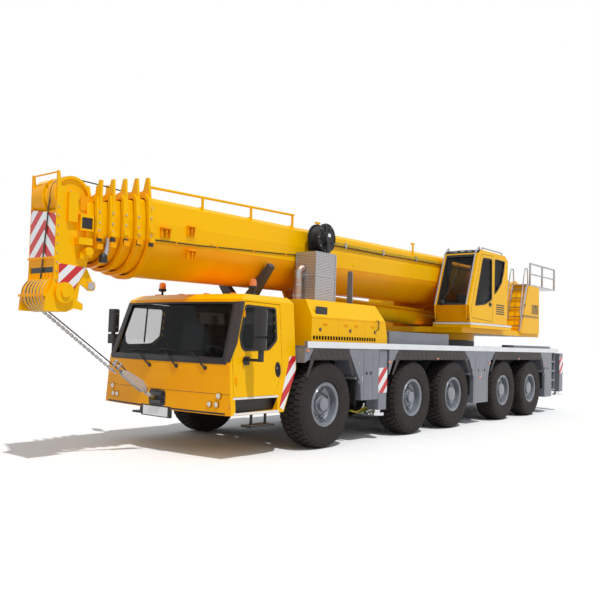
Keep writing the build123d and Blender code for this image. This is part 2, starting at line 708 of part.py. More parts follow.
# ---- superstructure ----
CHEEK = (
    # x, z
    (-5500, PLATE_TOP), (-5500, 2380), (-6600, 2560), (-8900, 3330), (PIVOT_X, PIVOT_Z + 330),
    (PIVOT_X - 330, PIVOT_Z + 200), (PIVOT_X - 330, PIVOT_Z - 250), (-9560, PLATE_TOP),
)
WINCH_X = -10230
WINCH_Z = 2620
WINCH_RADIUS = 300


def slew_platform():
    """Slewing ring, base plate, cheeks with the boom's pin, cylinder foot, housings and winch."""
    body = rod_z(SLEW_X, 0, RING_RADIUS, RING_SEAT + MOVING_GAP, PLATE_LOW)
    body += block(-9560, -5100, -1250, 1250, PLATE_LOW, PLATE_TOP)
    body += both(side_prism(CHEEK, CHEEK_IN, CHEEK_OUT))
    body += both(rod_y(PIVOT_X, PIVOT_Z, 230, CHEEK_IN - 30, CHEEK_OUT + 40))
    body += rod_y(PIVOT_X, PIVOT_Z, PIVOT_PIN - RUNNING_GAP, -CHEEK_OUT, CHEEK_OUT)
    lug = rod_y(FOOT_X, FOOT_Z, 130, 150, 210) + block(FOOT_X - 130, FOOT_X + 130, 150, 210, PLATE_LOW + 60, FOOT_Z)
    body += both(lug) + rod_y(FOOT_X, FOOT_Z, 60 - RUNNING_GAP, -200, 200)
    housing = side_prism(((-8260, 2040), (-9480, 2040), (-9440, 3268), (-8740, 3268)), CHEEK_OUT - 5, 1300)
    body += both(housing)
    floor = block(-7250, -5080, CHEEK_IN, CRANE_CAB_OUT + 10, PLATE_TOP - 10, CRANE_CAB_LOW - MOVING_GAP)
    body += floor
    body += block(-8200, -5300, -1300, -CHEEK_OUT, PLATE_TOP, 2900)
    frame = side_prism(((-9500, PLATE_TOP), (WINCH_X - 350, WINCH_Z - 330), (WINCH_X - 350, WINCH_Z + 300),
                        (-9800, 3000), (-9500, 2900)), 520, 560)
    tail = block(WINCH_X - 350, -9500, -520, 520, WINCH_Z - 400, WINCH_Z - 340)
    joint = block(-9560, -9400, 520, CHEEK_IN, PLATE_TOP, 2850)
    body += both(frame + joint) + tail
    body += rod_y(WINCH_X, WINCH_Z, WINCH_RADIUS - 60, -540, 540)
    body += both(rod_y(WINCH_X, WINCH_Z, WINCH_RADIUS, 460, 500))
    return body


def walkways():
    """Ladder up the housing's slanted front, top walkway and its rails."""
    top = block(-10650, -8800, 700, 1300, 3268, 3300)
    post_x = (-8850, -9700, -10600)
    for x in post_x:
        top += block(x - 20, x + 20, 1260, 1300, 3290, 3850)
    top += block(-10620, -8830, 1260, 1300, 3820, 3860) + block(-10620, -8830, 1260, 1300, 3560, 3590)
    steps = None
    for y in (880, 1250):
        stile = side_prism(((-8190, 2090), (-8240, 2090), (-8720, 3300), (-8670, 3300)), y, y + 35)
        steps = stile if steps is None else steps + stile
    for i in range(5):
        z = 2200 + 240 * i
        x = -8235 - (z - 2090) * 480 / 1210
        steps += block(x - 15, x + 15, 880, 1285, z, z + 30)
    for y in (897, 1267):
        steps += rail(((-8330, y, 2400), (-8250, y, 2560), (-8480, y, 3500), (-8560, y, 3690), (-8700, y, 3690),
                       (-8740, y, 3290)), 16)
    return top + steps + block(-8830, -8660, 880, 1285, 3268, 3300)


# Crane cab side outline: x, z
CRANE_CAB = ((-5070, CRANE_CAB_LOW), (-5010, 2550), (-5440, 3720), (-5540, 3800), (-6850, 3800), (-7030, 3700),
             (-7030, CRANE_CAB_LOW))
CRANE_DOOR = ((-5160, 2290), (-5130, 2520), (-5580, 3700), (-6200, 3720), (-6220, 2240))
CRANE_DOOR_WINDOW = ((-5310, 2560), (-5660, 3620), (-6130, 3640), (-6150, 2740), (-5800, 2620))
CRANE_QUARTER = ((-6300, 3660), (-6300, 2860), (-6850, 3660))
QUARTER_MIDDLE = (-6680, 3160)
GRAB_RADIUS = 16
GRAB_OFF = 60
CRANE_SCREEN = ((CRANE_CAB_IN + 70, 2560), (CRANE_CAB_IN + 70, 3690), (CRANE_CAB_OUT - 70, 3690),
                (CRANE_CAB_OUT - 70, 2560))


def crane_body(inset):
    """Crane cab's outer form, drawn in by inset."""
    return side_prism(grown(CRANE_CAB, -inset) if inset else CRANE_CAB, CRANE_CAB_IN + inset, CRANE_CAB_OUT - inset)


def crane_glass_layer():
    """Thin layer in the middle of the crane cab's wall."""
    return crane_body(CAB_WALL / 2 - GLASS / 2) - crane_body(CAB_WALL / 2 + GLASS / 2)


def outer_side(points, gap=0):
    """Prism through the crane cab's outer side only."""
    return side_prism(grown(points, gap) if gap else points, CRANE_CAB_OUT - 200, CRANE_CAB_OUT + 50)


def quarter_window():
    """Rear side window with a curved rear edge."""
    top, low, rear = [(x, CRANE_CAB_OUT - 200, z) for x, z in CRANE_QUARTER]
    x, z = QUARTER_MIDDLE
    outline = Line(rear, top) + Line(top, low) + ThreePointArc(low, (x, CRANE_CAB_OUT - 200, z), rear)
    return extrude(make_face(outline), amount=250, dir=(0, 1, 0))


def grab_rails():
    """Rails up the crane cab's two front corners and along its roof's outer edge."""
    floor, knee, brow, roof = CRANE_CAB[0], CRANE_CAB[1], CRANE_CAB[2], CRANE_CAB[3]
    rear = CRANE_CAB[4]
    found = None
    for y in (CRANE_CAB_IN + 45, CRANE_CAB_OUT - 45):
        points = ((floor[0] + 10, y, floor[1] + 60), (floor[0] + 10 + GRAB_OFF, y, floor[1] + 60),
                  (knee[0] + GRAB_OFF, y, knee[1]), (brow[0] + GRAB_OFF, y, brow[1] + 10),
                  (roof[0], y, roof[1] + GRAB_OFF), (roof[0] - 60, y, roof[1] - 10))
        upright = rail(points, GRAB_RADIUS)
        found = upright if found is None else found + upright
    y = CRANE_CAB_OUT - 45
    top = rail(((roof[0] - 150, y, roof[1] - 10), (roof[0] - 170, y, roof[1] + GRAB_OFF),
                (rear[0] + 90, y, rear[1] + GRAB_OFF), (rear[0] + 70, y, rear[1] - 10)), GRAB_RADIUS)
    return found + top


def inner_window():
    """Window in the crane cab's side that faces the boom."""
    return side_prism(((-5500, 2700), (-5750, 3600), (-6800, 3600), (-6800, 2700)), CRANE_CAB_IN - 50,
                      CRANE_CAB_IN + 200)


def crane_cab_shell():
    """Crane cab's shell with its openings and, in the largest of them, its sliding door, closed."""
    shell = crane_body(0) - crane_body(CAB_WALL)
    shell -= front_prism(CRANE_SCREEN, -6000, -5000)
    shell -= outer_side(CRANE_DOOR, DOOR_GAP)
    shell -= quarter_window()
    shell -= inner_window()
    shell += grab_rails()
    door = (crane_body(0) - crane_body(CAB_WALL)) & outer_side(CRANE_DOOR)
    return Compound([shell, door - outer_side(CRANE_DOOR_WINDOW)])


def crane_cab_glass():
    """Crane cab's front, door, quarter and inner windows."""
    layer = crane_glass_layer()
    panes = (front_prism(CRANE_SCREEN, -6000, -5000), outer_side(CRANE_DOOR_WINDOW), quarter_window(),
             inner_window())
    return Compound([layer & pane for pane in panes])


def crane_cab_interior():
    """Operator's seat with its side consoles."""
    floor = CRANE_CAB_LOW + CAB_WALL
    y = (CRANE_CAB_IN + CRANE_CAB_OUT) / 2
    consoles = block(-6350, -5900, y - 330, y - 250, floor + 300, floor + 620)
    consoles += block(-6350, -5900, y + 250, y + 330, floor + 300, floor + 620)
    return seat(-6250, y, floor) + consoles


# ---- luffing cylinder, built along +X from its foot ----
def luffing_barrel():
    """Barrel with its foot eye at the origin."""
    inside = ROD_RADIUS + 20
    barrel = rod_x(0, 0, BARREL_RADIUS, 200, BARREL_LENGTH)
    barrel -= rod_x(0, 0, inside, 230, BARREL_LENGTH + 10)
    collar = rod_x(0, 0, BARREL_RADIUS, BARREL_LENGTH - 160, BARREL_LENGTH)
    collar -= rod_x(0, 0, ROD_RADIUS + RUNNING_GAP, 0, 2 * BARREL_LENGTH)
    eye = rod_y(0, 0, 120, -130, 130) + block(0, 210, -100, 100, -100, 100)
    pipe_z = BARREL_RADIUS + PIPE_RADIUS + 20
    pipe = rod_x(0, pipe_z, PIPE_RADIUS, 420, BARREL_LENGTH - 300)
    for x in (440, 1700, 3000, BARREL_LENGTH - 340):
        pipe += block(x - 25, x + 25, -PIPE_RADIUS, PIPE_RADIUS, ROD_RADIUS + 35, pipe_z)
    return barrel + collar + eye + Rot(-35, 0, 0) * pipe - rod_y(0, 0, 60, -200, 200)


def luffing_rod(length):
    """Rod whose eye is length away from the foot."""
    rod = rod_x(0, 0, ROD_RADIUS, 240, length - 60)
    piston = rod_x(0, 0, ROD_RADIUS + 15, 240, 380)
    eye = rod_y(length, 0, 105, -100, 100)
    return rod + piston + eye - rod_y(length, 0, 50, -200, 200)


# ---- boom, built in its own frame ----
SECTION = Plane(origin=(0, 0, 0), x_dir=(0, 1, 0), z_dir=(1, 0, 0))


def boom_face(inset):
    """Boom's oval section in the plane square to it, drawn in by inset."""
    top = BOOM_HALF - 30
    outline = (Polyline((BOOM_HALF, BOOM_CREASE), (BOOM_HALF, BOOM_BEND), (top, BOOM_TOP - BOOM_CORNER),
                        (top - BOOM_CORNER, BOOM_TOP), (BOOM_CORNER - top, BOOM_TOP), (-top, BOOM_TOP - BOOM_CORNER),
                        (-BOOM_HALF, BOOM_BEND), (-BOOM_HALF, BOOM_CREASE))
               + ThreePointArc((-BOOM_HALF, BOOM_CREASE), (0, BOOM_BELLY), (BOOM_HALF, BOOM_CREASE)))
    face = make_face(outline)
    return offset(face, amount=-inset, kind=Kind.INTERSECTION) if inset else face


def boom_prism(inset, x0, x1):
    """Boom section from x0 to x1."""
    return extrude(SECTION.offset(x0) * boom_face(inset), amount=x1 - x0)


def front_of(k):
    """Front end of boom part k; part 0 is the base."""
    return BASE_FRONT + k * COLLAR_PITCH


HORN_RISE = 265
HORN_Y = 450
HORN_TAPER = 12
HORN_THICK = 35


def tube_space(k, rear):
    """What boom part k holds free inside."""
    return boom_prism(k * BOOM_STEP + BOOM_WALL, rear, front_of(k) + 10)


def boom_tube(k, rear):
    """Hollow boom part k with the collar round its mouth."""
    inset = k * BOOM_STEP
    front = front_of(k)
    tube = boom_prism(inset, rear, front) - boom_prism(inset + BOOM_WALL, rear - 10, front + 10)
    collar = boom_prism(inset - COLLAR_PROUD, front - COLLAR_LENGTH, front)
    inside = boom_prism(inset + BOOM_STEP - MOVING_GAP, rear, front + 10)
    side = BOOM_HALF - inset + COLLAR_PROUD
    top = BOOM_TOP - inset
    tip = top + HORN_RISE
    horn = HORN_Y - HORN_TAPER * k
    plate = front_prism(((-side, BOOM_BEND - inset), (-horn - 25, tip), (-horn + 25, tip), (-horn + 80, top + 95),
                         (-200, top + 60), (200, top + 60), (horn - 80, top + 95), (horn - 25, tip), (horn + 25, tip),
                         (side, BOOM_BEND - inset)), front - COLLAR_LENGTH, front - COLLAR_LENGTH + HORN_THICK)
    # lowest and highest z of the guide pads' holders on each side, below the section's top
    holders = None
    for low, high in ((430, 500), (570, 640)):
        holder = block(front - COLLAR_LENGTH - 15, front, side - 60, side + 28, top - high, top - low)
        holders = holder if holders is None else holders + holder
    return tube + (collar + plate + both(holders) - inside - tube_space(k, rear))


# rope guard rail on the boom's left top edge: its ends' x and z, and its posts' x
GUARD_RAIL = ((9337, 800), (12430, 745))
GUARD_POSTS = (9370, 10400, 11450)
HOOKS = (8690, 5350)
LEDGE = (4200, 6500)


def boom_fittings():
    """Rail with its posts, two hooks and a weld ledge on the base part's left side."""
    (x0, z0), (x1, z1) = GUARD_RAIL
    found = bar((x0, 470, z0), (x1, 470, z1), 20)
    for x in GUARD_POSTS:
        z = z0 + (z1 - z0) * (x - x0) / (x1 - x0)
        found += block(x - 10, x + 10, 450, 490, BOOM_TOP - 90, z)
        found += block(x - 10, x + 10, 380, 490, BOOM_TOP - 20, BOOM_TOP + 15)
    for x in HOOKS:
        found += block(x - 14, x + 14, 480, 512, BOOM_TOP - 150, BOOM_TOP + 160)
        found += block(x - 60, x + 60, 470, 512, BOOM_TOP + 130, BOOM_TOP + 160)
    x0, x1 = LEDGE
    found += block(x0, x1, 505, 545, 372, 396)
    return found - tube_space(0, BASE_REAR)


def boom_base():
    """Base part: tube, foot with its two ears, cylinder lugs and collar."""
    tube = boom_tube(0, BASE_REAR)
    plate = boom_prism(BOOM_WALL / 2, BASE_REAR, BASE_REAR + 40)
    ear = side_prism(((0, 250), (BASE_REAR + 20, BOOM_TOP - 60), (BASE_REAR + 20, BOOM_BELLY + 120), (0, -250)),
                     320, 460)
    ear += rod_y(0, 0, 250, 320, 460)
    ear -= rod_y(0, 0, PIVOT_PIN, 0, 600)
    lug = rod_y(ROD_EYE_X, ROD_EYE_Z, 110, 120, 180)
    lug += side_prism(((ROD_EYE_X - 110, ROD_EYE_Z), (ROD_EYE_X + 110, ROD_EYE_Z),
                       (ROD_EYE_X + 260, BOOM_BELLY + 50), (ROD_EYE_X - 260, BOOM_BELLY + 50)), 120, 180)
    lug -= boom_prism(BOOM_WALL, ROD_EYE_X - 400, ROD_EYE_X + 400)
    pin = rod_y(ROD_EYE_X, ROD_EYE_Z, 50 - RUNNING_GAP, -180, 180)
    return tube + plate + both(ear) + both(lug) + pin + boom_fittings()


def boom_section(k):
    """Telescoping part k."""
    return boom_tube(k, BASE_REAR + 150 + k * TUCK_PITCH)


HEAD_HALF = 300
HEAD_PLATE = 30
HEAD_FRONT = 13740
LUG_X = 13210
LUG_Z = -662
LUG_PIN = 30
LUG_END = HEAD_HALF + 10
# x, z and radius of the top sheave and of the lower row of sheaves
TOP_SHEAVE = (13500, 465, 260)
LOW_SHEAVES = (13640, -790, 222)
LOW_COUNT = 7
COVER_RIBS = 7
# x, z along the cover in front of the lower sheaves: top edge, middle and lower edge
COVER = ((13742, -525), (13766, -665), (13842, -800))


def sheave_row(count, pitch, radius, depth, y0):
    """Sheaves side by side on one axle, from y0 on, as one turned solid."""
    profile = [(0, y0)]
    for i in range(count):
        y = y0 + i * pitch
        profile += [(radius, y), (radius, y + pitch * 0.14), (radius - depth, y + pitch * 0.5),
                    (radius, y + pitch * 0.86)]
    end = y0 + count * pitch
    profile += [(radius, end), (0, end)]
    return turned(profile)


def sheave_guard(radius, y0, y1):
    """Wide wheel beside the top sheave, its outer face (towards y1) dished."""
    step = 30 if y1 > y0 else -30
    return turned(((0, y0), (radius, y0), (radius, y1), (radius - 35, y1), (radius - 45, y1 - step), (90, y1 - step),
                   (80, y1), (0, y1)))


def head_cheek(start):
    """Left side plate of the head, from the innermost tube's end at x = start."""
    y = HEAD_HALF - HEAD_PLATE
    top, mid, low = [(x, y, z) for x, z in COVER]
    upper = [(HEAD_FRONT, 590), (13620, 560), (13460, 475), (start, 430), (start, -330), (13284, -430), (13180, -610),
             (13160, -700), (13240, -720), (13370, -640), (13400, -860), (13320, -900), (13320, -980), (13440, -960),
             (13560, -1010), (13862, -1000)]
    points = [top] + [(x, y, z) for x, z in upper] + [low]
    outline = Polyline(*points) + ThreePointArc(low, mid, top)
    return extrude(make_face(outline), amount=HEAD_PLATE, dir=(0, 1, 0))


def head_cover():
    """Curved cover over the lower sheaves, with its ribs and the lip at its foot."""
    y = HEAD_HALF - HEAD_PLATE
    found = None
    layers = [(-y, y, 0)]
    pitch = 2 * y / COVER_RIBS
    layers += [(-y + pitch * (i + 0.5) - 6, -y + pitch * (i + 0.5) + 6, 18) for i in range(COVER_RIBS)]
    for y0, y1, proud in layers:
        outer = [(x + proud, y0, z) for x, z in COVER]
        inner = [(x - 14, y0, z) for x, z in COVER]
        outline = (ThreePointArc(*outer) + Line(outer[2], inner[2]) + ThreePointArc(inner[2], inner[1], inner[0])
                   + Line(inner[0], outer[0]))
        layer = extrude(make_face(outline), amount=y1 - y0, dir=(0, 1, 0))
        found = layer if found is None else found + layer
    x, z = COVER[2]
    return found + block(x - 20, x + 29, -HEAD_HALF, HEAD_HALF, z - 26, z + 6)


def head_side():
    """What stands on the left side plate: channel, cable box, axle bosses, chevron plate and bracket."""
    y = HEAD_HALF
    found = block(13465, 13600, y, y + 45, 130, 500)
    found += block(13245, 13440, y, y + 75, 35, 245) - block(13262, 13423, y + 60, y + 80, 60, 205)
    found += rod_y(13610, -770, 130, y, y + 50) + rod_y(13610, -770, 60, y + 50, y + 75)
    found += side_prism(((13700, -400), (13290, -425), (13330, -500), (13450, -690), (13700, -690)), y, y + 12)
    found += block(13280, 13480, y, y + 110, -150, -60) + rod_y(13330, -230, 55, y, y + 130)
    found += rod_y(TOP_SHEAVE[0], TOP_SHEAVE[1], 70, y, y + 25)
    found += side_prism(((13240, -300), (13420, -330), (13420, -240), (13300, -180)), y, y + 60)
    return found


def boom_head():
    """Innermost part, closed in front by the boom head with its sheaves."""
    rear = BASE_REAR + 150 + SECTIONS * TUCK_PITCH
    inset = SECTIONS * BOOM_STEP
    start = front_of(SECTIONS) - COLLAR_PITCH + 40
    tube = boom_prism(inset, rear, start + 60) - boom_prism(inset + BOOM_WALL, rear - 10, start)
    front = block(HEAD_FRONT - 25, HEAD_FRONT, -HEAD_HALF, HEAD_HALF, -455, 260)
    front += block(HEAD_FRONT, HEAD_FRONT + 22, -HEAD_HALF, HEAD_HALF, -350, -325)
    back = block(start, start + 60, -HEAD_HALF, HEAD_HALF, -330, 420)
    head = both(head_cheek(start)) + front + back + head_cover() + head_side() + flip(head_side())
    x, z, radius = TOP_SHEAVE
    inner = HEAD_HALF - HEAD_PLATE
    head += rod_y(x, z, 60, -HEAD_HALF, HEAD_HALF)
    head += Pos(x, 0, z) * sheave_row(1, 90, radius - 30, 45, -5)
    head += Pos(x, 0, z) * (sheave_guard(radius, 95, inner) + sheave_guard(radius, -15, -inner))
    x, z, radius = LOW_SHEAVES
    head += rod_y(x, z, 60, -HEAD_HALF, HEAD_HALF)
    half = inner - 15
    head += Pos(x, 0, z) * sheave_row(LOW_COUNT, 2 * half / LOW_COUNT, radius, 40, -half)
    post = side_prism(((HEAD_FRONT - 50, 570), (HEAD_FRONT, 585), (HEAD_FRONT, 755), (HEAD_FRONT - 30, 755)), inner,
                      HEAD_HALF)
    head += both(post) + rod_y(HEAD_FRONT - 15, 740, 11, -HEAD_HALF, HEAD_HALF)
    head += both(rod_y(LUG_X, LUG_Z, 66, inner - 10, LUG_END))
    return tube + head - rod_y(LUG_X, LUG_Z, LUG_PIN, -2 * HEAD_HALF, 2 * HEAD_HALF)


REEL = (8870, 435, 255)


def hose_reel():
    """Hose reel with its arm and bracket at the boom's left side."""
    x, z, radius = REEL
    y0 = BOOM_HALF
    # radius, y of the spool: two flanges with beaded rims and the drum between them
    spool = turned(((0, y0 + 80), (radius - 30, y0 + 90), (radius, y0 + 84), (radius, y0 + 112),
                    (radius - 30, y0 + 106), (radius - 60, y0 + 110), (radius - 60, y0 + 280),
                    (radius - 30, y0 + 284), (radius, y0 + 278), (radius, y0 + 306), (radius - 30, y0 + 300),
                    (120, y0 + 290), (110, y0 + 325), (0, y0 + 325)))
    hub = rod_y(x, z, 80, y0 + 20, y0 + 350)
    bracket = block(x - 120, x + 120, y0, y0 + 30, z - 200, z)
    arm = block(x - 35, x + 35, y0 + 326, y0 + 350, z - 250, z + 40)
    foot = block(x - 35, x + 35, y0 + 5, y0 + 350, z - 270, z - 245)
    strap = block(x - 35, x + 35, y0 + 5, y0 + 30, z - 270, z - 190)
    return Pos(x, 0, z) * spool + hub + bracket + arm + foot + strap


# ---- placing ----
def on_boom(shape):
    """From the boom's own frame to the crane."""
    return Pos(PIVOT_X, 0, PIVOT_Z) * Rot(0, BOOM_DROOP, 0) * shape


def boom_point(x, z):
    """The same for one point of the boom's middle plane."""
    droop = radians(BOOM_DROOP)
    return PIVOT_X + x * cos(droop) + z * sin(droop), PIVOT_Z - x * sin(droop) + z * cos(droop)


ROD_EYE = boom_point(ROD_EYE_X, ROD_EYE_Z)
CYLINDER_LENGTH = hypot(ROD_EYE[0] - FOOT_X, ROD_EYE[1] - FOOT_Z)
CYLINDER_ANGLE = degrees(atan2(ROD_EYE[1] - FOOT_Z, ROD_EYE[0] - FOOT_X))


def on_cylinder(shape):
    """From the cylinder's own frame to the crane."""
    return Pos(FOOT_X, 0, FOOT_Z) * Rot(0, -CYLINDER_ANGLE, 0) * shape


def nodes():
    """Every node's shape by its name."""
    found = {
        "chassis_frame": chassis_frame(),
        "boom_rest": boom_rest(),
        "side_decks": side_decks(),
        "axle_beams": axle_beams(),
        "engine_block": engine_block(),
        "engine_hood": engine_hood(),
        "exhaust_guard": exhaust_guard(),
        "driver_cab_shell": driver_cab_shell(),
        "driver_cab_glass": driver_cab_glass(),
        "driver_cab_interior": driver_cab_interior(),
        "driver_door_left": driver_door_left(),
        "door_glass_left": door_glass_left(),
    }
    found["driver_door_right"] = flip(found["driver_door_left"])
    found["door_glass_right"] = flip(found["door_glass_left"])
    wheel_tyre, wheel_rim, steering = tyre(), rim(), knuckle()
    for i, x in enumerate(AXLES):
        for side, put in (("left", lambda s: s), ("right", flip)):
            place = Pos(x, HALF_TRACK, TYRE_RADIUS)
            found[f"tyre_{i + 1}_{side}"] = put(place * wheel_tyre)
            found[f"rim_{i + 1}_{side}"] = put(place * wheel_rim)
            if i in STEERED:
                found[f"knuckle_{i + 1}_{side}"] = put(Pos(x, 0, 0) * steering)
    for name, x, z in (("front", FRONT_BEAM_X, FRONT_BEAM_Z), ("rear", REAR_BEAM_X, REAR_BEAM_Z)):
        found[f"outrigger_beam_{name}_left"] = outrigger_beam(x, z)
        found[f"outrigger_jack_{name}_left"] = outrigger_jack(x)
        found[f"outrigger_beam_{name}_right"] = flip(outrigger_beam(x + BEAM_PITCH, z))
        found[f"outrigger_jack_{name}_right"] = flip(outrigger_jack(x + BEAM_PITCH))
    found["slew_platform"] = slew_platform()
    found["walkways"] = walkways()
    found["crane_cab_shell"] = crane_cab_shell()
    found["crane_cab_glass"] = crane_cab_glass()
    found["crane_cab_interior"] = crane_cab_interior()
    found["luffing_barrel"] = on_cylinder(luffing_barrel())
    found["luffing_rod"] = on_cylinder(luffing_rod(CYLINDER_LENGTH))
    found["boom_base"] = on_boom(boom_base())
    for k in range(1, SECTIONS):
        found[f"boom_section_{k}"] = on_boom(boom_section(k))
    found["boom_head"] = on_boom(boom_head())
    found["hose_reel"] = on_boom(hose_reel())
    return found


def middle(shapes):
    """X of the middle of the whole crane's length."""
    boxes = [shape.bounding_box() for shape in shapes.values()]
    return (min(box.min.X for box in boxes) + max(box.max.X for box in boxes)) / 2


SHAPES = nodes()
ORIGIN_X = middle(SHAPES)
os.makedirs("parts", exist_ok=True)
for node, shape in SHAPES.items():
    export_step(Pos(-ORIGIN_X, 0, 0) * shape, f"parts/{node}.step")
print(len(SHAPES), "nodes, origin at x", round(ORIGIN_X, 3))
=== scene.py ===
import bmesh
import bpy
import json
from contextlib import contextmanager
from math import cos, pi, radians, sin
from mathutils import Matrix, Vector


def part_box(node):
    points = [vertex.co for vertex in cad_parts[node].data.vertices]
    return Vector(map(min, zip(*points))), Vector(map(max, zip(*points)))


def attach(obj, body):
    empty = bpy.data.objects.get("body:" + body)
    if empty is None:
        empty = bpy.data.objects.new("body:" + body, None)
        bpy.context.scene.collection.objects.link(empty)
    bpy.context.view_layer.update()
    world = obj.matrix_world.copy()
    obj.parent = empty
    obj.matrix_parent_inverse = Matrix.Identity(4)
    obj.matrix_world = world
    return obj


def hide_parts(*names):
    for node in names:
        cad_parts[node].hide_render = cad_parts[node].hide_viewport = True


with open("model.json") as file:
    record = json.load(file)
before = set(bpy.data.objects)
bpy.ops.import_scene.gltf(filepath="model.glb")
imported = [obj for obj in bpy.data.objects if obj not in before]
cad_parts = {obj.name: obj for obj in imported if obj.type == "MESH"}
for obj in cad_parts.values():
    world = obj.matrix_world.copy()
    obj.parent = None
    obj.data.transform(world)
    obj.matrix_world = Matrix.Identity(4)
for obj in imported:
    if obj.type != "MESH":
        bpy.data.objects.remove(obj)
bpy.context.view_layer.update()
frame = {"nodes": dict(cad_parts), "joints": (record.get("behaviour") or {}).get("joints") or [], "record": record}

# ---- where things are, read from the frame: X ahead, Y to the left, Z up ----
AHEAD, LEFT, UP = Vector((1, 0, 0)), Vector((0, 1, 0)), Vector((0, 0, 1))
SIDES = (("left", 1), ("right", -1))
TYRE_LOW, TYRE_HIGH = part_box("tyre_1_left")
AXLE1, _, HUB_Z = (TYRE_LOW + TYRE_HIGH) / 2
TYRE_R = (TYRE_HIGH.z - TYRE_LOW.z) / 2
TYRE_W = TYRE_HIGH.y - TYRE_LOW.y
JOINTS = {j["name"]: j for j in frame["joints"]}
PIVOT = Vector(JOINTS["boom_luff"]["pos_m"])
ALONG = Vector(JOINTS["telescope_1"]["axis"])
UPRIGHT = Vector((-ALONG.z, 0, ALONG.x))


def X(x):
    """From metres ahead of the first axle to the frame's X."""
    return x + AXLE1


def boom(x, z, y=0.0):
    """From the boom's own length and height to the frame."""
    return PIVOT + ALONG * x + UPRIGHT * z + LEFT * y


def wheel_centre(i, side):
    """Centre of a tyre, at the hub's height."""
    low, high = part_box(f"tyre_{i}_{side}")
    return Vector(((low.x + high.x) / 2, (low.y + high.y) / 2, HUB_Z))


# ---- materials ----
def nodes_of(name):
    m = bpy.data.materials.new(name)
    m.use_nodes = True
    t = m.node_tree
    return m, t, t.nodes["Principled BSDF"]


def linear(rgb):
    """sRGB 0..255 to linear, with alpha."""
    shares = [c / 255 for c in rgb]
    return (*(c / 12.92 if c <= 0.04045 else ((c + 0.055) / 1.055) ** 2.4 for c in shares), 1.0)


def setting(node, **values):
    """Values on a node's inputs; an underscore in a name stands for a space."""
    for name, value in values.items():
        node.inputs[name.replace("_", " ")].default_value = value
    return node


def put(t, kind, **values):
    return setting(t.nodes.new("ShaderNode" + kind), **values)


def noise(t, coord, scale, detail=2.0):
    """Noise in the piece's own coordinates."""
    n = put(t, "TexNoise", Scale=scale, Detail=detail)
    t.links.new(coord.outputs["Object"], n.inputs["Vector"])
    return n.outputs["Fac"]


def mixed(t, p, factor, first, second):
    """Base colour between two colours."""
    mix = t.nodes.new("ShaderNodeMix")
    mix.data_type = "RGBA"
    setting(mix, A=first, B=second)
    t.links.new(factor, mix.inputs["Factor"])
    t.links.new(mix.outputs["Result"], p.inputs["Base Color"])


def ramped(t, p, factor, stops):
    """Base colour from a ramp of (position, colour)."""
    ramp = t.nodes.new("ShaderNodeValToRGB")
    for element, (position, colour) in zip(ramp.color_ramp.elements, stops):
        element.position = position
        element.color = colour
    t.links.new(factor, ramp.inputs["Fac"])
    t.links.new(ramp.outputs["Color"], p.inputs["Base Color"])


def surface(name, rgb, other, rough, metal=0.0, coat=0.0, scale=3.0, rough_span=0.12, bump=0.0,
            bump_scale=60.0,
            specular=0.5):
    """Material whose colour drifts a little between two shades, with uneven gloss and a fine bump."""
    m, t, p = nodes_of(name)
    coord = t.nodes.new("ShaderNodeTexCoord")
    ramped(t, p, noise(t, coord, scale, 6), ((0.25, linear(other)), (0.75, linear(rgb))))
    span = put(t, "MapRange", To_Min=max(0.02, rough - rough_span / 2), To_Max=rough + rough_span / 2)
    t.links.new(noise(t, coord, scale * 4, 4), span.inputs["Value"])
    t.links.new(span.outputs["Result"], p.inputs["Roughness"])
    setting(p, Metallic=metal, Coat_Weight=coat, Coat_Roughness=0.08, Specular_IOR_Level=specular)
    if bump:
        b = put(t, "Bump", Strength=bump, Distance=0.002)
        t.links.new(noise(t, coord, bump_scale, 3), b.inputs["Height"])
        t.links.new(b.outputs["Normal"], p.inputs["Normal"])
    return m


CAB_PAINT = {"coat": 0.04, "bump": 0.05, "bump_scale": 25, "specular": 0.12}
YELLOW = surface("yellow_paint", (255, 196, 0), (255, 189, 0), 0.30, **CAB_PAINT)
# The cab yellow again, deeper and more orange: painted shade, the yellow paint as it looks in shade, for faces and
# parts that lie in shade
SHADED_YELLOW = surface("yellow_paint_in_shade", (255, 178, 0), (254, 164, 0), 0.34, **CAB_PAINT)
SLATE = surface("slate_paint", (127, 130, 139), (116, 119, 128), 0.42, coat=0.2, bump=0.05)
DARK_SLATE = surface("dark_slate_paint", (72, 73, 79), (60, 61, 66), 0.5, bump=0.1)
BLACK_PAINT = surface("black_paint", (30, 29, 31), (22, 21, 23), 0.45, bump=0.1)
PLASTIC = surface("black_plastic", (26, 25, 26), (34, 33, 34), 0.55, bump=0.25, bump_scale=300)
FENDER = surface("fender_plastic", (58, 51, 50), (47, 41, 41), 0.6, bump=0.3, bump_scale=220)
WHITE = surface("white_paint", (240, 242, 244), (228, 231, 235), 0.35, coat=0.3)
SILVER = surface("silver_paint", (176, 180, 186), (160, 164, 170), 0.32, metal=0.35, coat=0.2)
RIM = surface("rim_paint", (140, 144, 152), (124, 128, 136), 0.34, metal=0.25, coat=0.3, bump=0.08)
STEEL = surface("bare_steel", (190, 190, 192), (165, 165, 168), 0.3, metal=0.9, bump=0.1, bump_scale=90)
CHROME = surface("chromed_rod", (225, 225, 228), (215, 215, 218), 0.12, metal=1.0, rough_span=0.04)
RUBBER = surface("tyre_rubber", (50, 44, 42), (38, 34, 33), 0.78, scale=6, rough_span=0.2, bump=0.35,
                 bump_scale=140,
                 specular=0.3)
SEAL = surface("rubber_seal", (18, 17, 18), (24, 23, 24), 0.6, bump=0.15, bump_scale=200)
WIRE = surface("wire_rope", (96, 88, 80), (60, 54, 50), 0.45, metal=0.6, scale=40, bump=0.6, bump_scale=160)
BRONZE = surface("heated_pipe", (150, 110, 84), (190, 176, 168), 0.38, metal=0.7, scale=7)
LAMP_RED = surface("red_lamp", (200, 30, 24), (180, 20, 18), 0.15, coat=0.8)
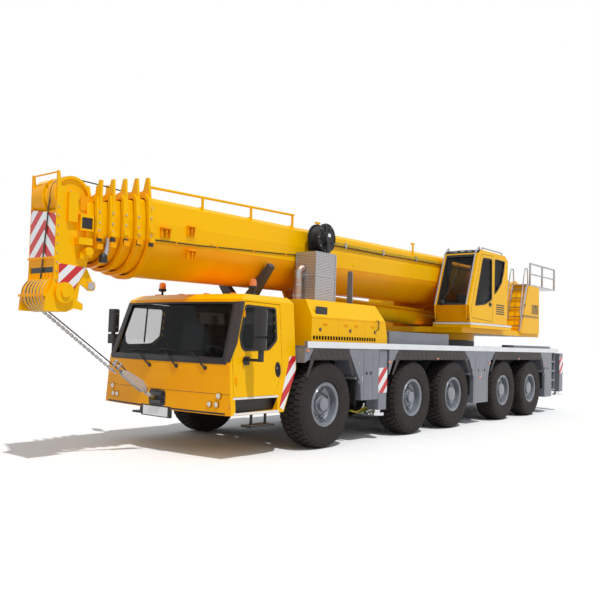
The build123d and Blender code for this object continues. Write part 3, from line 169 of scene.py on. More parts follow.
LAMP_AMBER = surface("amber_lamp", (238, 128, 38), (220, 108, 26), 0.15, coat=0.8)
LAMP_GLASS = surface("lamp_glass", (226, 226, 222), (196, 196, 192), 0.08, metal=0.3, coat=1.0, scale=30)
CABIN = surface("cabin_lining", (36, 37, 39), (28, 29, 30), 0.7, bump=0.2, bump_scale=150)
WHITE_STEEL = surface("zinced_chain", (206, 206, 204), (180, 180, 180), 0.35, metal=0.4, scale=30)
HOSE_YELLOW = surface("yellow_hose", (214, 196, 30), (180, 150, 20), 0.5, scale=9, bump=0.1)
HOSE_GREEN = surface("green_hose", (70, 160, 84), (50, 130, 66), 0.5, scale=9, bump=0.1)


def glass(name, rgb, alpha):
    """Tinted pane that lets part of the light through."""
    m, t, p = nodes_of(name)
    tint = linear(rgb)
    paler = (*(c * 1.5 for c in tint[:3]), 1.0)
    ramped(t, p, noise(t, t.nodes.new("ShaderNodeTexCoord"), 1.2), ((0.0, tint), (1.0, paler)))
    setting(p, Roughness=0.03, Alpha=alpha, Specular_IOR_Level=0.45)
    m.surface_render_method = "BLENDED"
    return m


GLASS = glass("cab_glass", (20, 27, 31), 0.17)
REAR_GLASS = glass("rear_window_glass", (22, 24, 26), 0.86)


def calc(t, operation, first, second=0.0):
    """Math node on a socket and a number or second socket."""
    n = t.nodes.new("ShaderNodeMath")
    n.operation = operation
    t.links.new(first, n.inputs[0])
    if isinstance(second, float):
        n.inputs[1].default_value = second
    else:
        t.links.new(second, n.inputs[1])
    return n.outputs[0]


def along(t, direction):
    """Metres along a direction, in the piece's own coordinates."""
    coord = t.nodes.new("ShaderNodeTexCoord")
    n = t.nodes.new("ShaderNodeVectorMath")
    n.operation = "DOT_PRODUCT"
    n.inputs[1].default_value = direction
    t.links.new(coord.outputs["Object"], n.inputs[0])
    return n.outputs["Value"]


def two_tone(name, build_mask, dark, light, rough=0.35, metal=0.0, coat=0.3):
    """Material of two colours; build_mask(t) gives 0 for the dark and 1 for the light one."""
    m, t, p = nodes_of(name)
    mixed(t, p, build_mask(t), linear(dark), linear(light))
    setting(p, Roughness=rough, Metallic=metal, Coat_Weight=coat)
    return m


FILM_RED, FILM_WHITE = (206, 14, 24), (240, 242, 244)
SLANT = 0.7071


def stripes(name, direction, pitch):
    """Red and white bands square to a direction, one pair in each pitch."""
    def mask(t):
        run = calc(t, "DIVIDE", along(t, direction), pitch)
        return calc(t, "GREATER_THAN", calc(t, "FRACT", run), 0.5)
    return two_tone(name, mask, FILM_RED, FILM_WHITE)


def chevrons(name, pitch, middle_y):
    """Red and white chevrons that point up at middle_y, one pair in each pitch."""
    def mask(t):
        aside = calc(t, "ABSOLUTE", calc(t, "SUBTRACT", along(t, (0, 1, 0)), middle_y))
        run = calc(t, "DIVIDE", calc(t, "ADD", along(t, (0, 0, 1)), aside), pitch)
        return calc(t, "GREATER_THAN", calc(t, "FRACT", run), 0.5)
    return two_tone(name, mask, FILM_RED, FILM_WHITE)


def dotted(name, pitch, radius, dark, light):
    """Sheet with staggered round holes, on any upright face."""
    def mask(t):
        u = calc(t, "DIVIDE", along(t, (1, 1, 0)), pitch)
        v = calc(t, "DIVIDE", along(t, (0, 0, 1)), pitch)
        row = calc(t, "MULTIPLY", calc(t, "FLOOR", v), 0.5)
        u = calc(t, "SUBTRACT", calc(t, "FRACT", calc(t, "ADD", u, row)), 0.5)
        v = calc(t, "SUBTRACT", calc(t, "FRACT", v), 0.5)
        square = calc(t, "ADD", calc(t, "MULTIPLY", u, u), calc(t, "MULTIPLY", v, v))
        return calc(t, "GREATER_THAN", square, radius * radius)
    return two_tone(name, mask, dark, light, rough=0.4, metal=0.5, coat=0.0)


SIDE_STRIPES = stripes("side_stripes", (SLANT, 0, SLANT), 0.20)
FRONT_STRIPES = chevrons("front_stripes", 0.27, 0.04)
REAR_STRIPES = stripes("rear_stripes", (0, SLANT, SLANT), 0.20)
HEAD_STRIPES = stripes("head_stripes", (SLANT, 0, SLANT), 0.17)
# Painted shade: the holes are dark dots, the shade behind the sheet
PERFORATED = dotted("perforated_sheet", 0.026, 0.30, (58, 54, 56), (196, 192, 194))
TREAD_PLATE = dotted("tread_plate", 0.05, 0.18, (168, 168, 170), (112, 113, 118))

# ---- mesh building ----
BOX_FACES = ((0, 1, 3, 2), (4, 6, 7, 5), (0, 4, 5, 1), (2, 3, 7, 6), (0, 2, 6, 4), (1, 5, 7, 3))


def turns(count, first=0.0):
    """Angles spread evenly over a full turn, the first a share of a step in."""
    return [2 * pi * (k + first) / count for k in range(count)]


def circle(centre, radius, count, first=0.0, a=AHEAD, b=UP):
    """Points spread evenly round a circle in the plane of a and b."""
    return [centre + (a * cos(w) + b * sin(w)) * radius for w in turns(count, first)]


def rect(a0, a1, b0, b1):
    return [(a0, b0), (a1, b0), (a1, b1), (a0, b1)]


def oval(centre, across, high, count=28):
    return [(centre[0] + cos(w) * across, centre[1] + sin(w) * high) for w in turns(count)]


@contextmanager
def edited(mesh):
    """The mesh as a bmesh, written back afterwards."""
    bm = bmesh.new()
    bm.from_mesh(mesh)
    yield bm
    bm.to_mesh(mesh)
    bm.free()


def soften(mesh, angle):
    """Smooth shading, with the edges sharper than angle kept."""
    with edited(mesh) as bm:
        for f in bm.faces:
            f.smooth = True
        for e in bm.edges:
            e.smooth = len(e.link_faces) == 2 and e.calc_face_angle(0) < radians(angle)


class Maker:
    """Collects faces for one piece."""

    def __init__(self):
        self.verts, self.faces, self.marks, self.mats = [], [], [], []

    def add(self, verts, faces, material, base=None):
        base = len(self.verts) if base is None else base
        if material not in self.mats:
            self.mats.append(material)
        self.verts += [tuple(v) for v in verts]
        self.faces += [[base + i for i in f] for f in faces]
        self.marks += [self.mats.index(material)] * len(faces)

    def box(self, x0, x1, y0, y1, z0, z1, material):
        self.add([(x, y, z) for x in (x0, x1) for y in (y0, y1) for z in (z0, z1)], BOX_FACES, material)

    def block(self, x0, x1, *rest):
        """Box whose x counts from the first axle."""
        self.box(X(x0), X(x1), *rest)

    def prism(self, ring, step, material):
        """Closed outline of 3-D points, pushed along step."""
        ring = [Vector(p) for p in ring]
        n = len(ring)
        faces = [tuple(range(n - 1, -1, -1)), tuple(range(n, 2 * n))]
        faces += [(i, (i + 1) % n, n + (i + 1) % n, n + i) for i in range(n)]
        self.add(ring + [p + Vector(step) for p in ring], faces, material)

    def boom_plate(self, points, y, thick, material):
        """Plate beside the boom, with an outline of (x, z) points."""
        self.prism([boom(x, z, y) for x, z in points], (0, thick, 0), material)

    def tube(self, path, radius, material, sides=10, closed=False):
        """Round bar along a path of points, with one radius or a list of them."""
        path = [Vector(p) for p in path]
        n = len(path)
        verts = []
        a = None
        for i, p in enumerate(path):
            ahead, behind = ((i + 1) % n, i - 1) if closed else (min(i + 1, n - 1), max(i - 1, 0))
            d = (path[ahead] - path[behind]).normalized()
            if a is None:
                a = d.cross(UP)
                if a.length < 0.2:
                    a = d.cross(LEFT)
            else:
                a = a - d * a.dot(d)
            a.normalize()
            b = d.cross(a)
            r = radius[i] if isinstance(radius, list) else radius
            verts += [p + (a * cos(w) + b * sin(w)) * r for w in turns(sides)]
        faces = []
        for i in range(n if closed else n - 1):
            j = (i + 1) % n
            for k in range(sides):
                m = (k + 1) % sides
                faces.append((i * sides + k, j * sides + k, j * sides + m, i * sides + m))
        if not closed:
            faces += [tuple(range(sides - 1, -1, -1)), tuple((n - 1) * sides + k for k in range(sides))]
        self.add(verts, faces, material)

    def lathe(self, profile, centre, axis, material, sides=32, closed=False, marks=None):
        """Turned body: profile of (radius, along) about an axis; marks gives a material per step."""
        axis = Vector(axis).normalized()
        a = axis.cross(UP)
        if a.length < 0.2:
            a = axis.cross(AHEAD)
        a.normalize()
        b = axis.cross(a)
        centre = Vector(centre)
        n = len(profile)
        marks = marks or [material] * n
        base = len(self.verts)
        verts = [centre + axis * s + (a * cos(w) + b * sin(w)) * r for r, s in profile for w in turns(sides)]
        for i in range(n if closed else n - 1):
            j = (i + 1) % n
            nexts = [(k, (k + 1) % sides) for k in range(sides)]
            faces = [(i * sides + k, i * sides + m, j * sides + m, j * sides + k) for k, m in nexts]
            self.add(verts if i == 0 else [], faces, marks[i], base)
        for i in () if closed else (0, n - 1):
            if profile[i][0] > 1e-5:
                ring = tuple(i * sides + k for k in range(sides))
                self.add([], [ring[::-1] if i == 0 else ring], marks[min(i, n - 2)], base)

    def rod(self, p0, p1, radius, material, sides=14):
        p0, p1 = Vector(p0), Vector(p1)
        self.lathe([(radius, 0), (radius, (p1 - p0).length)], p0, p1 - p0, material, sides)

    def bolt(self, p, axis, radius, height, material=STEEL):
        """Hexagon head."""
        self.lathe([(radius, 0), (radius, height * 0.85), (radius * 0.85, height)], p, axis, material, 6)

    def sheet(self, skin, points, off, thick, material):
        """Panel with an outline of (a, b) points on a skin, its outer face off outside it."""
        n = len(points)
        faces = [tuple(range(n)), tuple(range(2 * n - 1, n - 1, -1))]
        faces += [(i, n + i, n + (i + 1) % n, (i + 1) % n) for i in range(n)]
        self.add([skin(a, b, o) for o in (off, off - thick) for a, b in points], faces, material)

    def frame(self, skin, inner, outer, off, thick, material):
        """Ring between two outlines of as many (a, b) points on a surface."""
        n = len(inner)
        faces = []
        for i in range(n):
            j = (i + 1) % n
            faces += [(i, j, n + j, n + i), (2 * n + i, 3 * n + i, 3 * n + j, 2 * n + j),
                      (i, 2 * n + i, 2 * n + j, j), (n + i, n + j, 3 * n + j, 3 * n + i)]
        self.add([skin(a, b, o) for o in (off, off - thick) for a, b in (*inner, *outer)], faces, material)

    def ring(self, skin, outline, inward, outward, off, thick, material):
        """Frame along an outline, from inward inside it to outward outside it."""
        self.frame(skin, grown(outline, -inward), grown(outline, outward), off, thick, material)

    def patch(self, skin, corners, off, thick, material, across=16):
        """Curved panel: corners (a, b) low first, low last, high last, high first, on a surface."""
        (a0, b0), (a1, b1), (a2, b2), (a3, b3) = corners
        verts = []
        for k in range(across + 1):
            w = k / across
            low = (a0 + (a1 - a0) * w, b0 + (b1 - b0) * w)
            high = (a3 + (a2 - a3) * w, b3 + (b2 - b3) * w)
            verts += [skin(*low, off), skin(*high, off), skin(*high, off - thick), skin(*low, off - thick)]
        faces = [(3, 2, 1, 0), tuple(4 * across + i for i in range(4))]
        for i in range(0, 4 * across, 4):
            faces += [(i + q, i + 4 + q, i + 4 + (q + 1) % 4, i + (q + 1) % 4) for q in range(4)]
        self.add(verts, faces, material)

    def thing(self, name):
        """The faces so far as an object, all turned outwards."""
        mesh = bpy.data.meshes.new(name)
        mesh.from_pydata(self.verts, [], self.faces)
        for m in self.mats:
            mesh.materials.append(m)
        mesh.polygons.foreach_set("material_index", self.marks)
        mesh.update()
        obj = bpy.data.objects.new(name, mesh)
        bpy.context.scene.collection.objects.link(obj)
        with edited(mesh) as bm:
            bmesh.ops.recalc_face_normals(bm, faces=bm.faces)
        return obj

    def build(self, name, body="carrier", bevel=0.0, smooth=35, replaces=()):
        """The piece, riding on a body."""
        obj = self.thing(name)
        if bevel:
            mod = obj.modifiers.new("edge", "BEVEL")
            mod.width = bevel
            mod.segments = 2
            mod.limit_method = "ANGLE"
            mod.angle_limit = radians(40)
        soften(obj.data, smooth)
        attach(obj, body)
        if replaces:
            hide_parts(*replaces)


def rounded(points, radius, count=4):
    """Outline with its corners rounded."""
    found = []
    for i, point in enumerate(points):
        p = Vector(point)
        a = Vector(points[i - 1]) - p
        b = Vector(points[(i + 1) % len(points)]) - p
        cut = min(radius, a.length * 0.45, b.length * 0.45)
        first, last = p + a.normalized() * cut, p + b.normalized() * cut
        for w in (k / count for k in range(count + 1)):
            found.append(tuple(first * (1 - w) ** 2 + p * (2 * w * (1 - w)) + last * w * w))
    return found


def grown(points, amount):
    """Outline moved outwards from its middle by about the amount."""
    centre = sum((Vector(p) for p in points), Vector((0, 0))) / len(points)
    return [tuple(Vector(p) + (Vector(p) - centre).normalized() * amount * 1.2) for p in points]


# ---- the surfaces that trims lie on ----
# driver's cab: height, x of the front corner and half width, from sill to roof
CAB_LEVELS = ((0.62, 2.05, 1.40), (1.31, 2.05, 1.337), (2.24, 1.76, 1.253), (2.32, 1.62, 1.17))
CAB_BULGE = 0.12
HOOD_Y, BOX_Y, DECK_Y, BOOM_Y, HEAD_Y = 1.40, 1.491, 1.4995, 0.531, 0.302
HEAD_X, REAR_X = 13.74, -10.85
HEAD_Y_LEFT = 0.3125
DECK_TOP, HOOD_TOP = 1.67, 2.34
CRANE_SCREEN_FOOT = (-5.01, 2.55)
CRANE_SCREEN_SLANT = 0.43 / 1.17


def cab_level(z, column):
    """The cab's front corner (column 1) or half width (column 2) at a height."""
    for low, high in zip(CAB_LEVELS, CAB_LEVELS[1:]):
        if z <= high[0]:
            break
    share = (z - low[0]) / (high[0] - low[0])
    return low[column] + (high[column] - low[column]) * share


def cab_nose(y, z):
    """x of the cab's curved front."""
    return cab_level(z, 1) + CAB_BULGE * (1 - (y / cab_level(z, 2)) ** 2)


def cab_front(y, z, off=0.0):
    """Point on the cab's curved front, off outside it."""
    return Vector((X(cab_nose(y, z) + off), y, z))


def cab_side(s):
    """The cab's left (1) or right (-1) side as a function of x, z and the distance outside it."""
    return lambda x, z, off=0.0: Vector((X(x), s * (cab_level(z, 2) + off), z))


def flat_side(y, s=1):
    """Upright side at y, as a function of x, z and the distance outside it."""
    return lambda x, z, off=0.0: Vector((X(x), s * (y + off), z))


def boom_side(y, s=1):
    """The boom's side at y, as a function of its own x and z and the distance outside it."""
    return lambda x, z, off=0.0: boom(x, z, s * (y + off))


def head_front(y, z, off=0.0):
    """The boom head's front face."""
    return boom(HEAD_X + off, z, y)


def crane_nose(z):
    """x of the crane cab's slanted windscreen."""
    x, foot = CRANE_SCREEN_FOOT
    return x - (z - foot) * CRANE_SCREEN_SLANT


def crane_front(y, z, off=0.0):
    return Vector((X(crane_nose(z) + off), y, z))


# ---- camera, light and floor ----
CAMERA_AT = (9.0339, 8.2062, 1.6726)
CAMERA_TURN, CAMERA_TILT, CAMERA_ROLL = 0.6818, 0.0571, 0.0318
CAMERA_LENS, CAMERA_SENSOR = 42.75, 36
SUN_FROM = (0.2, 0.45, 1.0)
SUN_STRENGTH, SUN_SPREAD = 2.05, radians(1.5)
FLOOR_REACH = 400


def camera():
    look = Vector((-cos(CAMERA_TURN) * cos(CAMERA_TILT), -sin(CAMERA_TURN) * cos(CAMERA_TILT),
                   sin(CAMERA_TILT)))
    right = look.cross(UP).normalized()
    up = right.cross(look)
    data = bpy.data.cameras.new("camera")
    data.sensor_width = CAMERA_SENSOR
    data.lens = CAMERA_LENS
    data.clip_end = FLOOR_REACH
    cam = bpy.data.objects.new("camera", data)
    bpy.context.scene.collection.objects.link(cam)
    c, s = cos(CAMERA_ROLL), sin(CAMERA_ROLL)
    m = Matrix((right * c + up * s, up * c - right * s, -look)).transposed().to_4x4()
    x, y, z = CAMERA_AT
    m.translation = Vector((X(x), y, z))
    cam.matrix_world = m
    bpy.context.scene.camera = cam


def seen(t):
    """1 for what the camera sees, straight, in a mirror or through glass, and 0 for what only lights."""
    path = t.nodes.new("ShaderNodeLightPath")
    found = path.outputs["Is Camera Ray"]
    for name in ("Is Glossy Ray", "Is Transmission Ray"):
        found = calc(t, "MAXIMUM", found, path.outputs[name])
    return found


def floor_material():
    """Matt and pale to the lamps, and white where the camera sees it lit."""
    m, t, p = nodes_of("floor")
    mixed(t, p, seen(t), (0.72, 0.72, 0.72, 1), (1.0, 1.0, 1.0, 1))
    setting(p, Roughness=1.0, Specular_IOR_Level=0.0)
    return m


def studio():
    """White surroundings, a high sun to the crane's left and a white floor that keeps the shadow."""
    scene = bpy.context.scene
    scene.view_settings.view_transform = "Standard"
    world = bpy.data.worlds.new("studio")
    scene.world = world
    world.use_nodes = True
    t = world.node_tree
    sky = setting(t.nodes["Background"], Color=(0.96, 0.98, 1.0, 1), Strength=0.5)
    white = put(t, "Background", Color=(1, 1, 1, 1), Strength=1.0)
    mix = t.nodes.new("ShaderNodeMixShader")
    for socket, place in ((seen(t), 0), (sky.outputs[0], 1), (white.outputs[0], 2)):
        t.links.new(socket, mix.inputs[place])
    t.links.new(mix.outputs[0], t.nodes["World Output"].inputs["Surface"])
    ground = Maker()
    ground.box(-FLOOR_REACH, FLOOR_REACH, -FLOOR_REACH, FLOOR_REACH, -0.05, 0.0, floor_material())
    ground.thing("floor")
    lamp = bpy.data.lights.new("sun", "SUN")
    lamp.energy = SUN_STRENGTH
    lamp.angle = SUN_SPREAD
    sun = bpy.data.objects.new("sun", lamp)
    scene.collection.objects.link(sun)
    sun.rotation_euler = Vector(SUN_FROM).to_track_quat("Z", "Y").to_euler()


camera()
studio()

# ---- materials of the CAD nodes ----
SLOT_MATERIAL = {
    "yellow": YELLOW, "boom_yellow": YELLOW, "deck_grey": SLATE, "frame_grey": DARK_SLATE,
                 "axle_black": BLACK_PAINT,
    "engine": BLACK_PAINT, "steel": STEEL, "rim_silver": RIM, "rubber": RUBBER, "glass": GLASS,
                 "interior": CABIN,
    "chrome": CHROME, "beam_yellow": SLATE, "reel_black": PLASTIC,
}
for part in frame["record"]["subparts"]:
    node = frame["nodes"][part["node"]]
    node.data.materials.clear()
    node.data.materials.append(SLOT_MATERIAL[part["material_slot"]])
for node in frame["nodes"].values():
    soften(node.data, 25)


# ---- wheels ----
LUGS = 44


def tyre(i, side):
    """Tyre with a lugged tread, shoulder ribs and a moulded sidewall."""
    c = wheel_centre(i, side)
    m = Maker()
    h = TYRE_W / 2
    base = TYRE_R - 0.022
    half_profile = [(0.316, 0.064), (0.345, 0.045), (0.375, 0.013), (0.43, 0.004), (0.50, 0), (0.555, 0.001),
                    (0.585, 0.005), (0.588, 0.002), (0.600, 0.003), (0.604, 0.009), (0.640, 0.022),
                    (base - 0.010, 0.045), (base, 0.075)]
    wall = [(r, y - h) for r, y in half_profile]
    m.lathe(wall + [(r, -y) for r, y in reversed(wall)], c, LEFT, RUBBER, 96, closed=True)
    step = 2 * pi / LUGS
    # rows across the tread: from y, to y, skew and start as a share of a step
    rows = ((-h + 0.020, -0.115, 0.35, 0.0), (-0.105, -0.010, -0.3, 0.5), (0.010, 0.105, 0.3, 0.0),
            (0.115, h - 0.020, -0.35, 0.5))
    for k in range(LUGS):
        for ya, yb, skew, start in rows:
            verts = []
            for y, shift in ((ya, -skew * 0.02), (yb, skew * 0.02)):
                shoulder = abs(y) > h - 0.03
                for r in (base - (0.045 if shoulder else 0.02), TYRE_R - (0.030 if shoulder else 0)):
                    for q in (-0.36, 0.36):
                        w = (k + start + q) * step + shift
                        verts.append(c + Vector((cos(w) * r, y, sin(w) * r)))
            m.add(verts, BOX_FACES, RUBBER)
    m.build(f"tyre_tread_{i}_{side}", f"wheel_{i}_{side}", smooth=30,
            replaces=[f"tyre_{i}_{side}"])


RIM_PROFILE = [(0.300, -0.180), (0.345, -0.190), (0.345, -0.176), (0.3115, -0.160), (0.3115, 0.160),
               (0.345, 0.176),
               (0.350, 0.186), (0.345, 0.194), (0.336, 0.194), (0.326, 0.184), (0.312, 0.184), (0.306, 0.192),
               (0.297, 0.188), (0.292, 0.170), (0.288, 0.070), (0.262, 0.040), (0.235, 0.030), (0.185, 0.052),
               (0.175, 0.060), (0.172, 0.030), (0.130, 0.012), (0.130, -0.055), (0.295, -0.10)]
HUB_FOOT = [(0.172, 0.055), (0.165, 0.075), (0.150, 0.080)]
STEERED_HUB = HUB_FOOT + [(0.140, 0.110), (0.112, 0.118), (0.106, 0.172), (0.098, 0.178), (0.0, 0.180)]
FIXED_HUB = HUB_FOOT + [(0.146, 0.150), (0.128, 0.170), (0.0, 0.176)]


def rim(i, side, s):
    """Dished rim with its lock ring, hub and bolts, and black discs as painted shade in the hand holes."""
    c = wheel_centre(i, side)
    out = LEFT * s
    m = Maker()
    m.lathe(RIM_PROFILE, c, out, RIM, 64, closed=True)
    m.lathe(STEERED_HUB if i < 3 else FIXED_HUB, c, out, RIM, 40)
    for p in circle(c + out * 0.040, 0.205, 10):
        m.bolt(p, out, 0.017, 0.034)
        m.lathe([(0.009, 0.034), (0.009, 0.050)], p, out, STEEL, 8)
    # Painted shade: black discs stand for the shaded inside of the hand holes
    for p, d in zip(circle(c + out * 0.046, 0.262, 8, 0.5), circle(Vector(), 1, 8, 0.5)):
        m.lathe([(0.030, 0.0), (0.024, 0.006), (0.0, 0.007)], p, out + d * 0.55, BLACK_PAINT, 12)
    count, radius, lift = (8, 0.128, 0.110) if i < 3 else (12, 0.137, 0.156)
    for p in circle(c + out * lift, radius, count):
        m.bolt(p, out, 0.010, 0.014)
    m.build(f"rim_detail_{i}_{side}", f"wheel_{i}_{side}", smooth=32,
            replaces=[f"rim_{i}_{side}"])


for axle in range(1, 6):
    for side, s in SIDES:
        tyre(axle, side)
        rim(axle, side, s)

# ---- paint on the CAD's own pieces ----
SIDE_LAMPS = ((0.541, 1.53), (-1.81, 1.348), (-3.587, 1.402), (-6.006, 1.313), (-7.659, 1.402),
              (-9.388, 1.299),
              (-5.503, 1.012))
BOOM_NODES = ("boom_base", *(f"boom_section_{k}" for k in range(1, 5)))


def paint(name, material, chosen):
    """Another material on the faces of a CAD piece that pass a test of x, y, z and normal.

    The test gets the face's centre, with x counted from the first axle.
    """
    mesh = frame["nodes"][name].data
    mesh.materials.append(material)
    for face in mesh.polygons:
        if chosen(face.center.x - AXLE1, face.center.y, face.center.z, face.normal):
            face.material_index = len(mesh.materials) - 1


def inside_cab(x, y, z, n):
    """Whether a face of the driver's cab or its doors looks into the cab."""
    half = cab_level(z, 2)
    return 0.9 < z < 2.29 and abs(y) < half - 0.02 and 0.64 < x < cab_nose(y, z) - 0.02


def inside_crane_cab(x, y, z, n):
    """Whether a face of the crane cab looks into it."""
    return 2.2 < z < 3.785 and 0.63 < y < 1.44 and -7.01 < x < crane_nose(z) - 0.02


def on_side_lamp(x, y, z, n):
    return abs(y) > DECK_Y and any(abs(x - a) < 0.06 and abs(z - b) < 0.04 for a, b in SIDE_LAMPS)


def paint_all():
    """Plastic, lamps, linings and edges that are parts of larger pieces, and painted shade on both cabs' fronts,
    the boom head's front and the boom's underside.
    """
    # Painted shade: the driver's cab's front faces take the shaded copy of the yellow
    paint("driver_cab_shell", SHADED_YELLOW, lambda x, y, z, n: n.x > 0.6 and x > 1.7)
    doors = ("driver_door_left", "driver_door_right")
    for node in doors:
        paint(node, PLASTIC, lambda x, y, z, n: abs(y) > 1.345 and z > 1.29 and x > 1.5)
    paint("driver_cab_shell", PLASTIC, lambda x, y, z, n: z < 0.6 and x > 0.9)
    paint("driver_cab_shell", BLACK_PAINT,
          lambda x, y, z, n: 1.075 < x < 1.965 and 0.65 < z < 0.84 and 1.25 < abs(y) < 1.345)
    for node in ("driver_cab_shell", *doors):
        paint(node, CABIN, inside_cab)
    paint("driver_cab_glass", REAR_GLASS, lambda x, y, z, n: x < 0.8)
    paint("crane_cab_shell", CABIN, inside_crane_cab)
    paint("side_decks", WHITE, lambda x, y, z, n: abs(n.y) > 0.9 and abs(y) > 1.43 and 1.57 < z < 1.671)
    paint("side_decks", TREAD_PLATE, lambda x, y, z, n: n.z > 0.9 and abs(z - DECK_TOP) < 0.01)
    paint("side_decks", LAMP_AMBER, on_side_lamp)
    paint("engine_hood", BLACK_PAINT, lambda x, y, z, n: 1.70 < z < 1.765 and 1.3 < abs(y) < 1.398)
    paint("crane_cab_shell", SILVER, lambda x, y, z, n: z > 3.81 or x > crane_nose(z) + 0.022)
    # Painted shade: the crane cab's lower front faces take the shaded copy of the yellow
    paint("crane_cab_shell", SHADED_YELLOW, lambda x, y, z, n: n.x > 0.5 and z < 2.60)
    # Painted shade: every boom section below its crease takes the shaded copy of the yellow
    for node in BOOM_NODES:
        paint(node, SHADED_YELLOW, lambda x, y, z, n: (Vector((X(x), y, z)) - PIVOT).dot(UPRIGHT) < 0.006)
    # Painted shade: the boom head's front faces take the shaded copy of the yellow
    paint("boom_head", SHADED_YELLOW, lambda x, y, z, n: n.x > 0.8)


paint_all()

# ---- driver's cab ----
WIPERS = ((-0.539, 1.389, -0.197, 1.245), (0.102, 1.412, 0.386, 1.258), (0.621, 1.432, 0.931, 1.254))
FRONT_LAMPS = ((1.18, 0.88, 0.042), (1.03, 0.76, 0.038), (1.15, 0.76, 0.038))
DOOR_WINDOW = ((1.05, 1.67), (1.05, 2.14), (1.69, 2.15), (1.83, 1.70), (1.80, 1.56), (1.74, 1.51),
               (1.23, 1.53))
HANDLE = (1.045, 1.24)
CAB_ROOF = 2.32


def front_bands(m, bands):
    """Bands across the cab's front: low and high edge, reach each side, off, thickness and material."""
    for low, high, reach, off, thick, material in bands:
        m.patch(cab_front, rect(-reach, reach, low, high), off, thick, material, 24)


def screen_frame():
    """Black band and cowl under the windscreen, its seal and the dark pillar covers."""
    m = Maker()
    front_bands(m, ((1.335, 1.40, 1.235, 0.004, 0.006, BLACK_PAINT),
                    (1.315, 1.345, 1.285, 0.008, 0.010, PLASTIC),
                    (2.165, 2.195, 1.15, 0.005, 0.007, SEAL)))
    for s in (1, -1):
        m.patch(cab_front, ((s * 1.20, 1.36), (s * 1.245, 1.36), (s * 1.16, 2.19), (s * 1.125, 2.19)), 0.005,
                0.007,
                SEAL, 2)
        m.patch(cab_front, ((s * 1.240, 1.345), (s * 1.338, 1.345), (s * 1.262, 2.20), (s * 1.156, 2.20)),
                0.004,
                0.005, FENDER, 3)
        m.sheet(cab_side(s), [(2.044, 1.345), (1.992, 1.43), (1.89, 1.61), (1.706, 2.205), (1.776, 2.205)],
                0.004,
                0.005, FENDER)
    m.build("screen_frame", smooth=30)


def wipers():
    """Three wiper arms with their spindles, and a blade lying along the foot of the screen on each."""
    m = Maker()
    for y0, z0, y1, z1 in WIPERS:
        foot = cab_front(y1, z1, 0.018)
        tip = cab_front(y0, z0 + 0.05, 0.022)
        m.lathe([(0.030, 0), (0.028, 0.016), (0.018, 0.024), (0.0, 0.026)], cab_front(y1, z1), (1, 0, 0.2),
                PLASTIC, 20)
        m.tube([foot, foot.lerp(tip, 0.3) + AHEAD * 0.012, foot.lerp(tip, 0.7) + AHEAD * 0.016, tip],
               [0.013, 0.011, 0.008, 0.006], PLASTIC, 8)
        blade = [cab_front(y0 - 0.20 + 0.05 * k, z0 + 0.062 + 0.012 * sin(pi * k / 8),
                           0.012) for k in range(9)]
        m.tube(blade, 0.006, SEAL, 6)
        m.tube([b + Vector((0.010, 0, 0.004)) for b in blade[1:-1]], 0.004, PLASTIC, 6)
        for b in blade[2:7:2]:
            m.rod(b, b + Vector((0.014, 0, 0.004)), 0.004, PLASTIC, 6)
    m.build("wipers", smooth=40)


def front_fittings():
    """Bumper swage, blank number plate, coupling surround, lamp lenses and corner markers."""
    m = Maker()
    # The first band, the swage, takes the shaded copy of the yellow: painted shade
    front_bands(m, ((1.205, 1.213, 1.33, 0.003, 0.006, SHADED_YELLOW),
                    (0.905, 0.910, 1.36, 0.0015, 0.004, BLACK_PAINT),
                    (0.632, 0.655, 1.30, 0.003, 0.006, BLACK_PAINT)))
    m.patch(cab_front, rect(-0.36, 0.30, 0.50, 0.665), 0.002, 0.030, PLASTIC, 10)
    m.patch(cab_front, rect(-0.305, 0.24, 0.515, 0.648), 0.010, 0.012, WHITE, 10)
    m.frame(cab_front, rounded(rect(-0.15, 0.15, 0.70, 0.86), 0.03),
            rounded(rect(-0.18, 0.18, 0.672, 0.888), 0.04),
            0.006, 0.01, BLACK_PAINT)
    m.build("front_trim", smooth=30)
    m = Maker()
    for s in (1, -1):
        for y, z, r in FRONT_LAMPS:
            m.lathe([(r + 0.010, -0.01), (r + 0.010, 0.006), (r + 0.003, 0.010), (r, 0.004),
                     (r * 0.94, 0.004),
                     (r * 0.90, 0.012), (r * 0.45, 0.020), (0.0, 0.022)], cab_front(s * y, z, 0.002), AHEAD,
                    LAMP_GLASS, 28, marks=[PLASTIC] * 2 + [CHROME] * 2 + [LAMP_GLASS] * 3)
        m.block(1.985, 2.055, s * 1.335 - 0.05, s * 1.335 + 0.045, 0.715, 0.765, LAMP_AMBER)
    m.build("front_lamps", bevel=0.002)


def door_trim(side, s):
    """Window seal, window bar, oval handle plate with its grip, lock and hinges."""
    m = Maker()
    skin = cab_side(s)
    m.ring(skin, rounded(DOOR_WINDOW, 0.05), 0.022, 0.012, 0.006, 0.010, SEAL)
    m.sheet(skin, rect(1.38, 1.41, 1.565, 2.125), 0.005, 0.006, SEAL)
    m.sheet(skin, oval(HANDLE, 0.062, 0.112), 0.006, 0.010, BLACK_PAINT)
    m.sheet(skin, oval(HANDLE, 0.050, 0.098), 0.009, 0.006, PLASTIC)
    x, z = HANDLE
    grip = ((-0.075, 0.006), (-0.055, 0.030), (0.060, 0.030), (0.080, 0.006))
    m.tube([skin(x - 0.01, z + dz, off) for dz, off in grip], 0.011, BLACK_PAINT)
    m.lathe([(0.012, 0.0), (0.011, 0.006), (0.0, 0.007)], skin(x + 0.025, z + 0.02, 0.008), LEFT * s, CHROME,
            16)
    for x, z in ((1.935, 1.05), (1.735, 1.98)):
        # Hinges in the shaded copy of the yellow: painted shade
        m.rod(skin(x, z, 0.012), skin(x, z + 0.09, 0.012), 0.014, SHADED_YELLOW, 12)
    m.build(f"door_trim_{side}", f"driver_door_{side}")


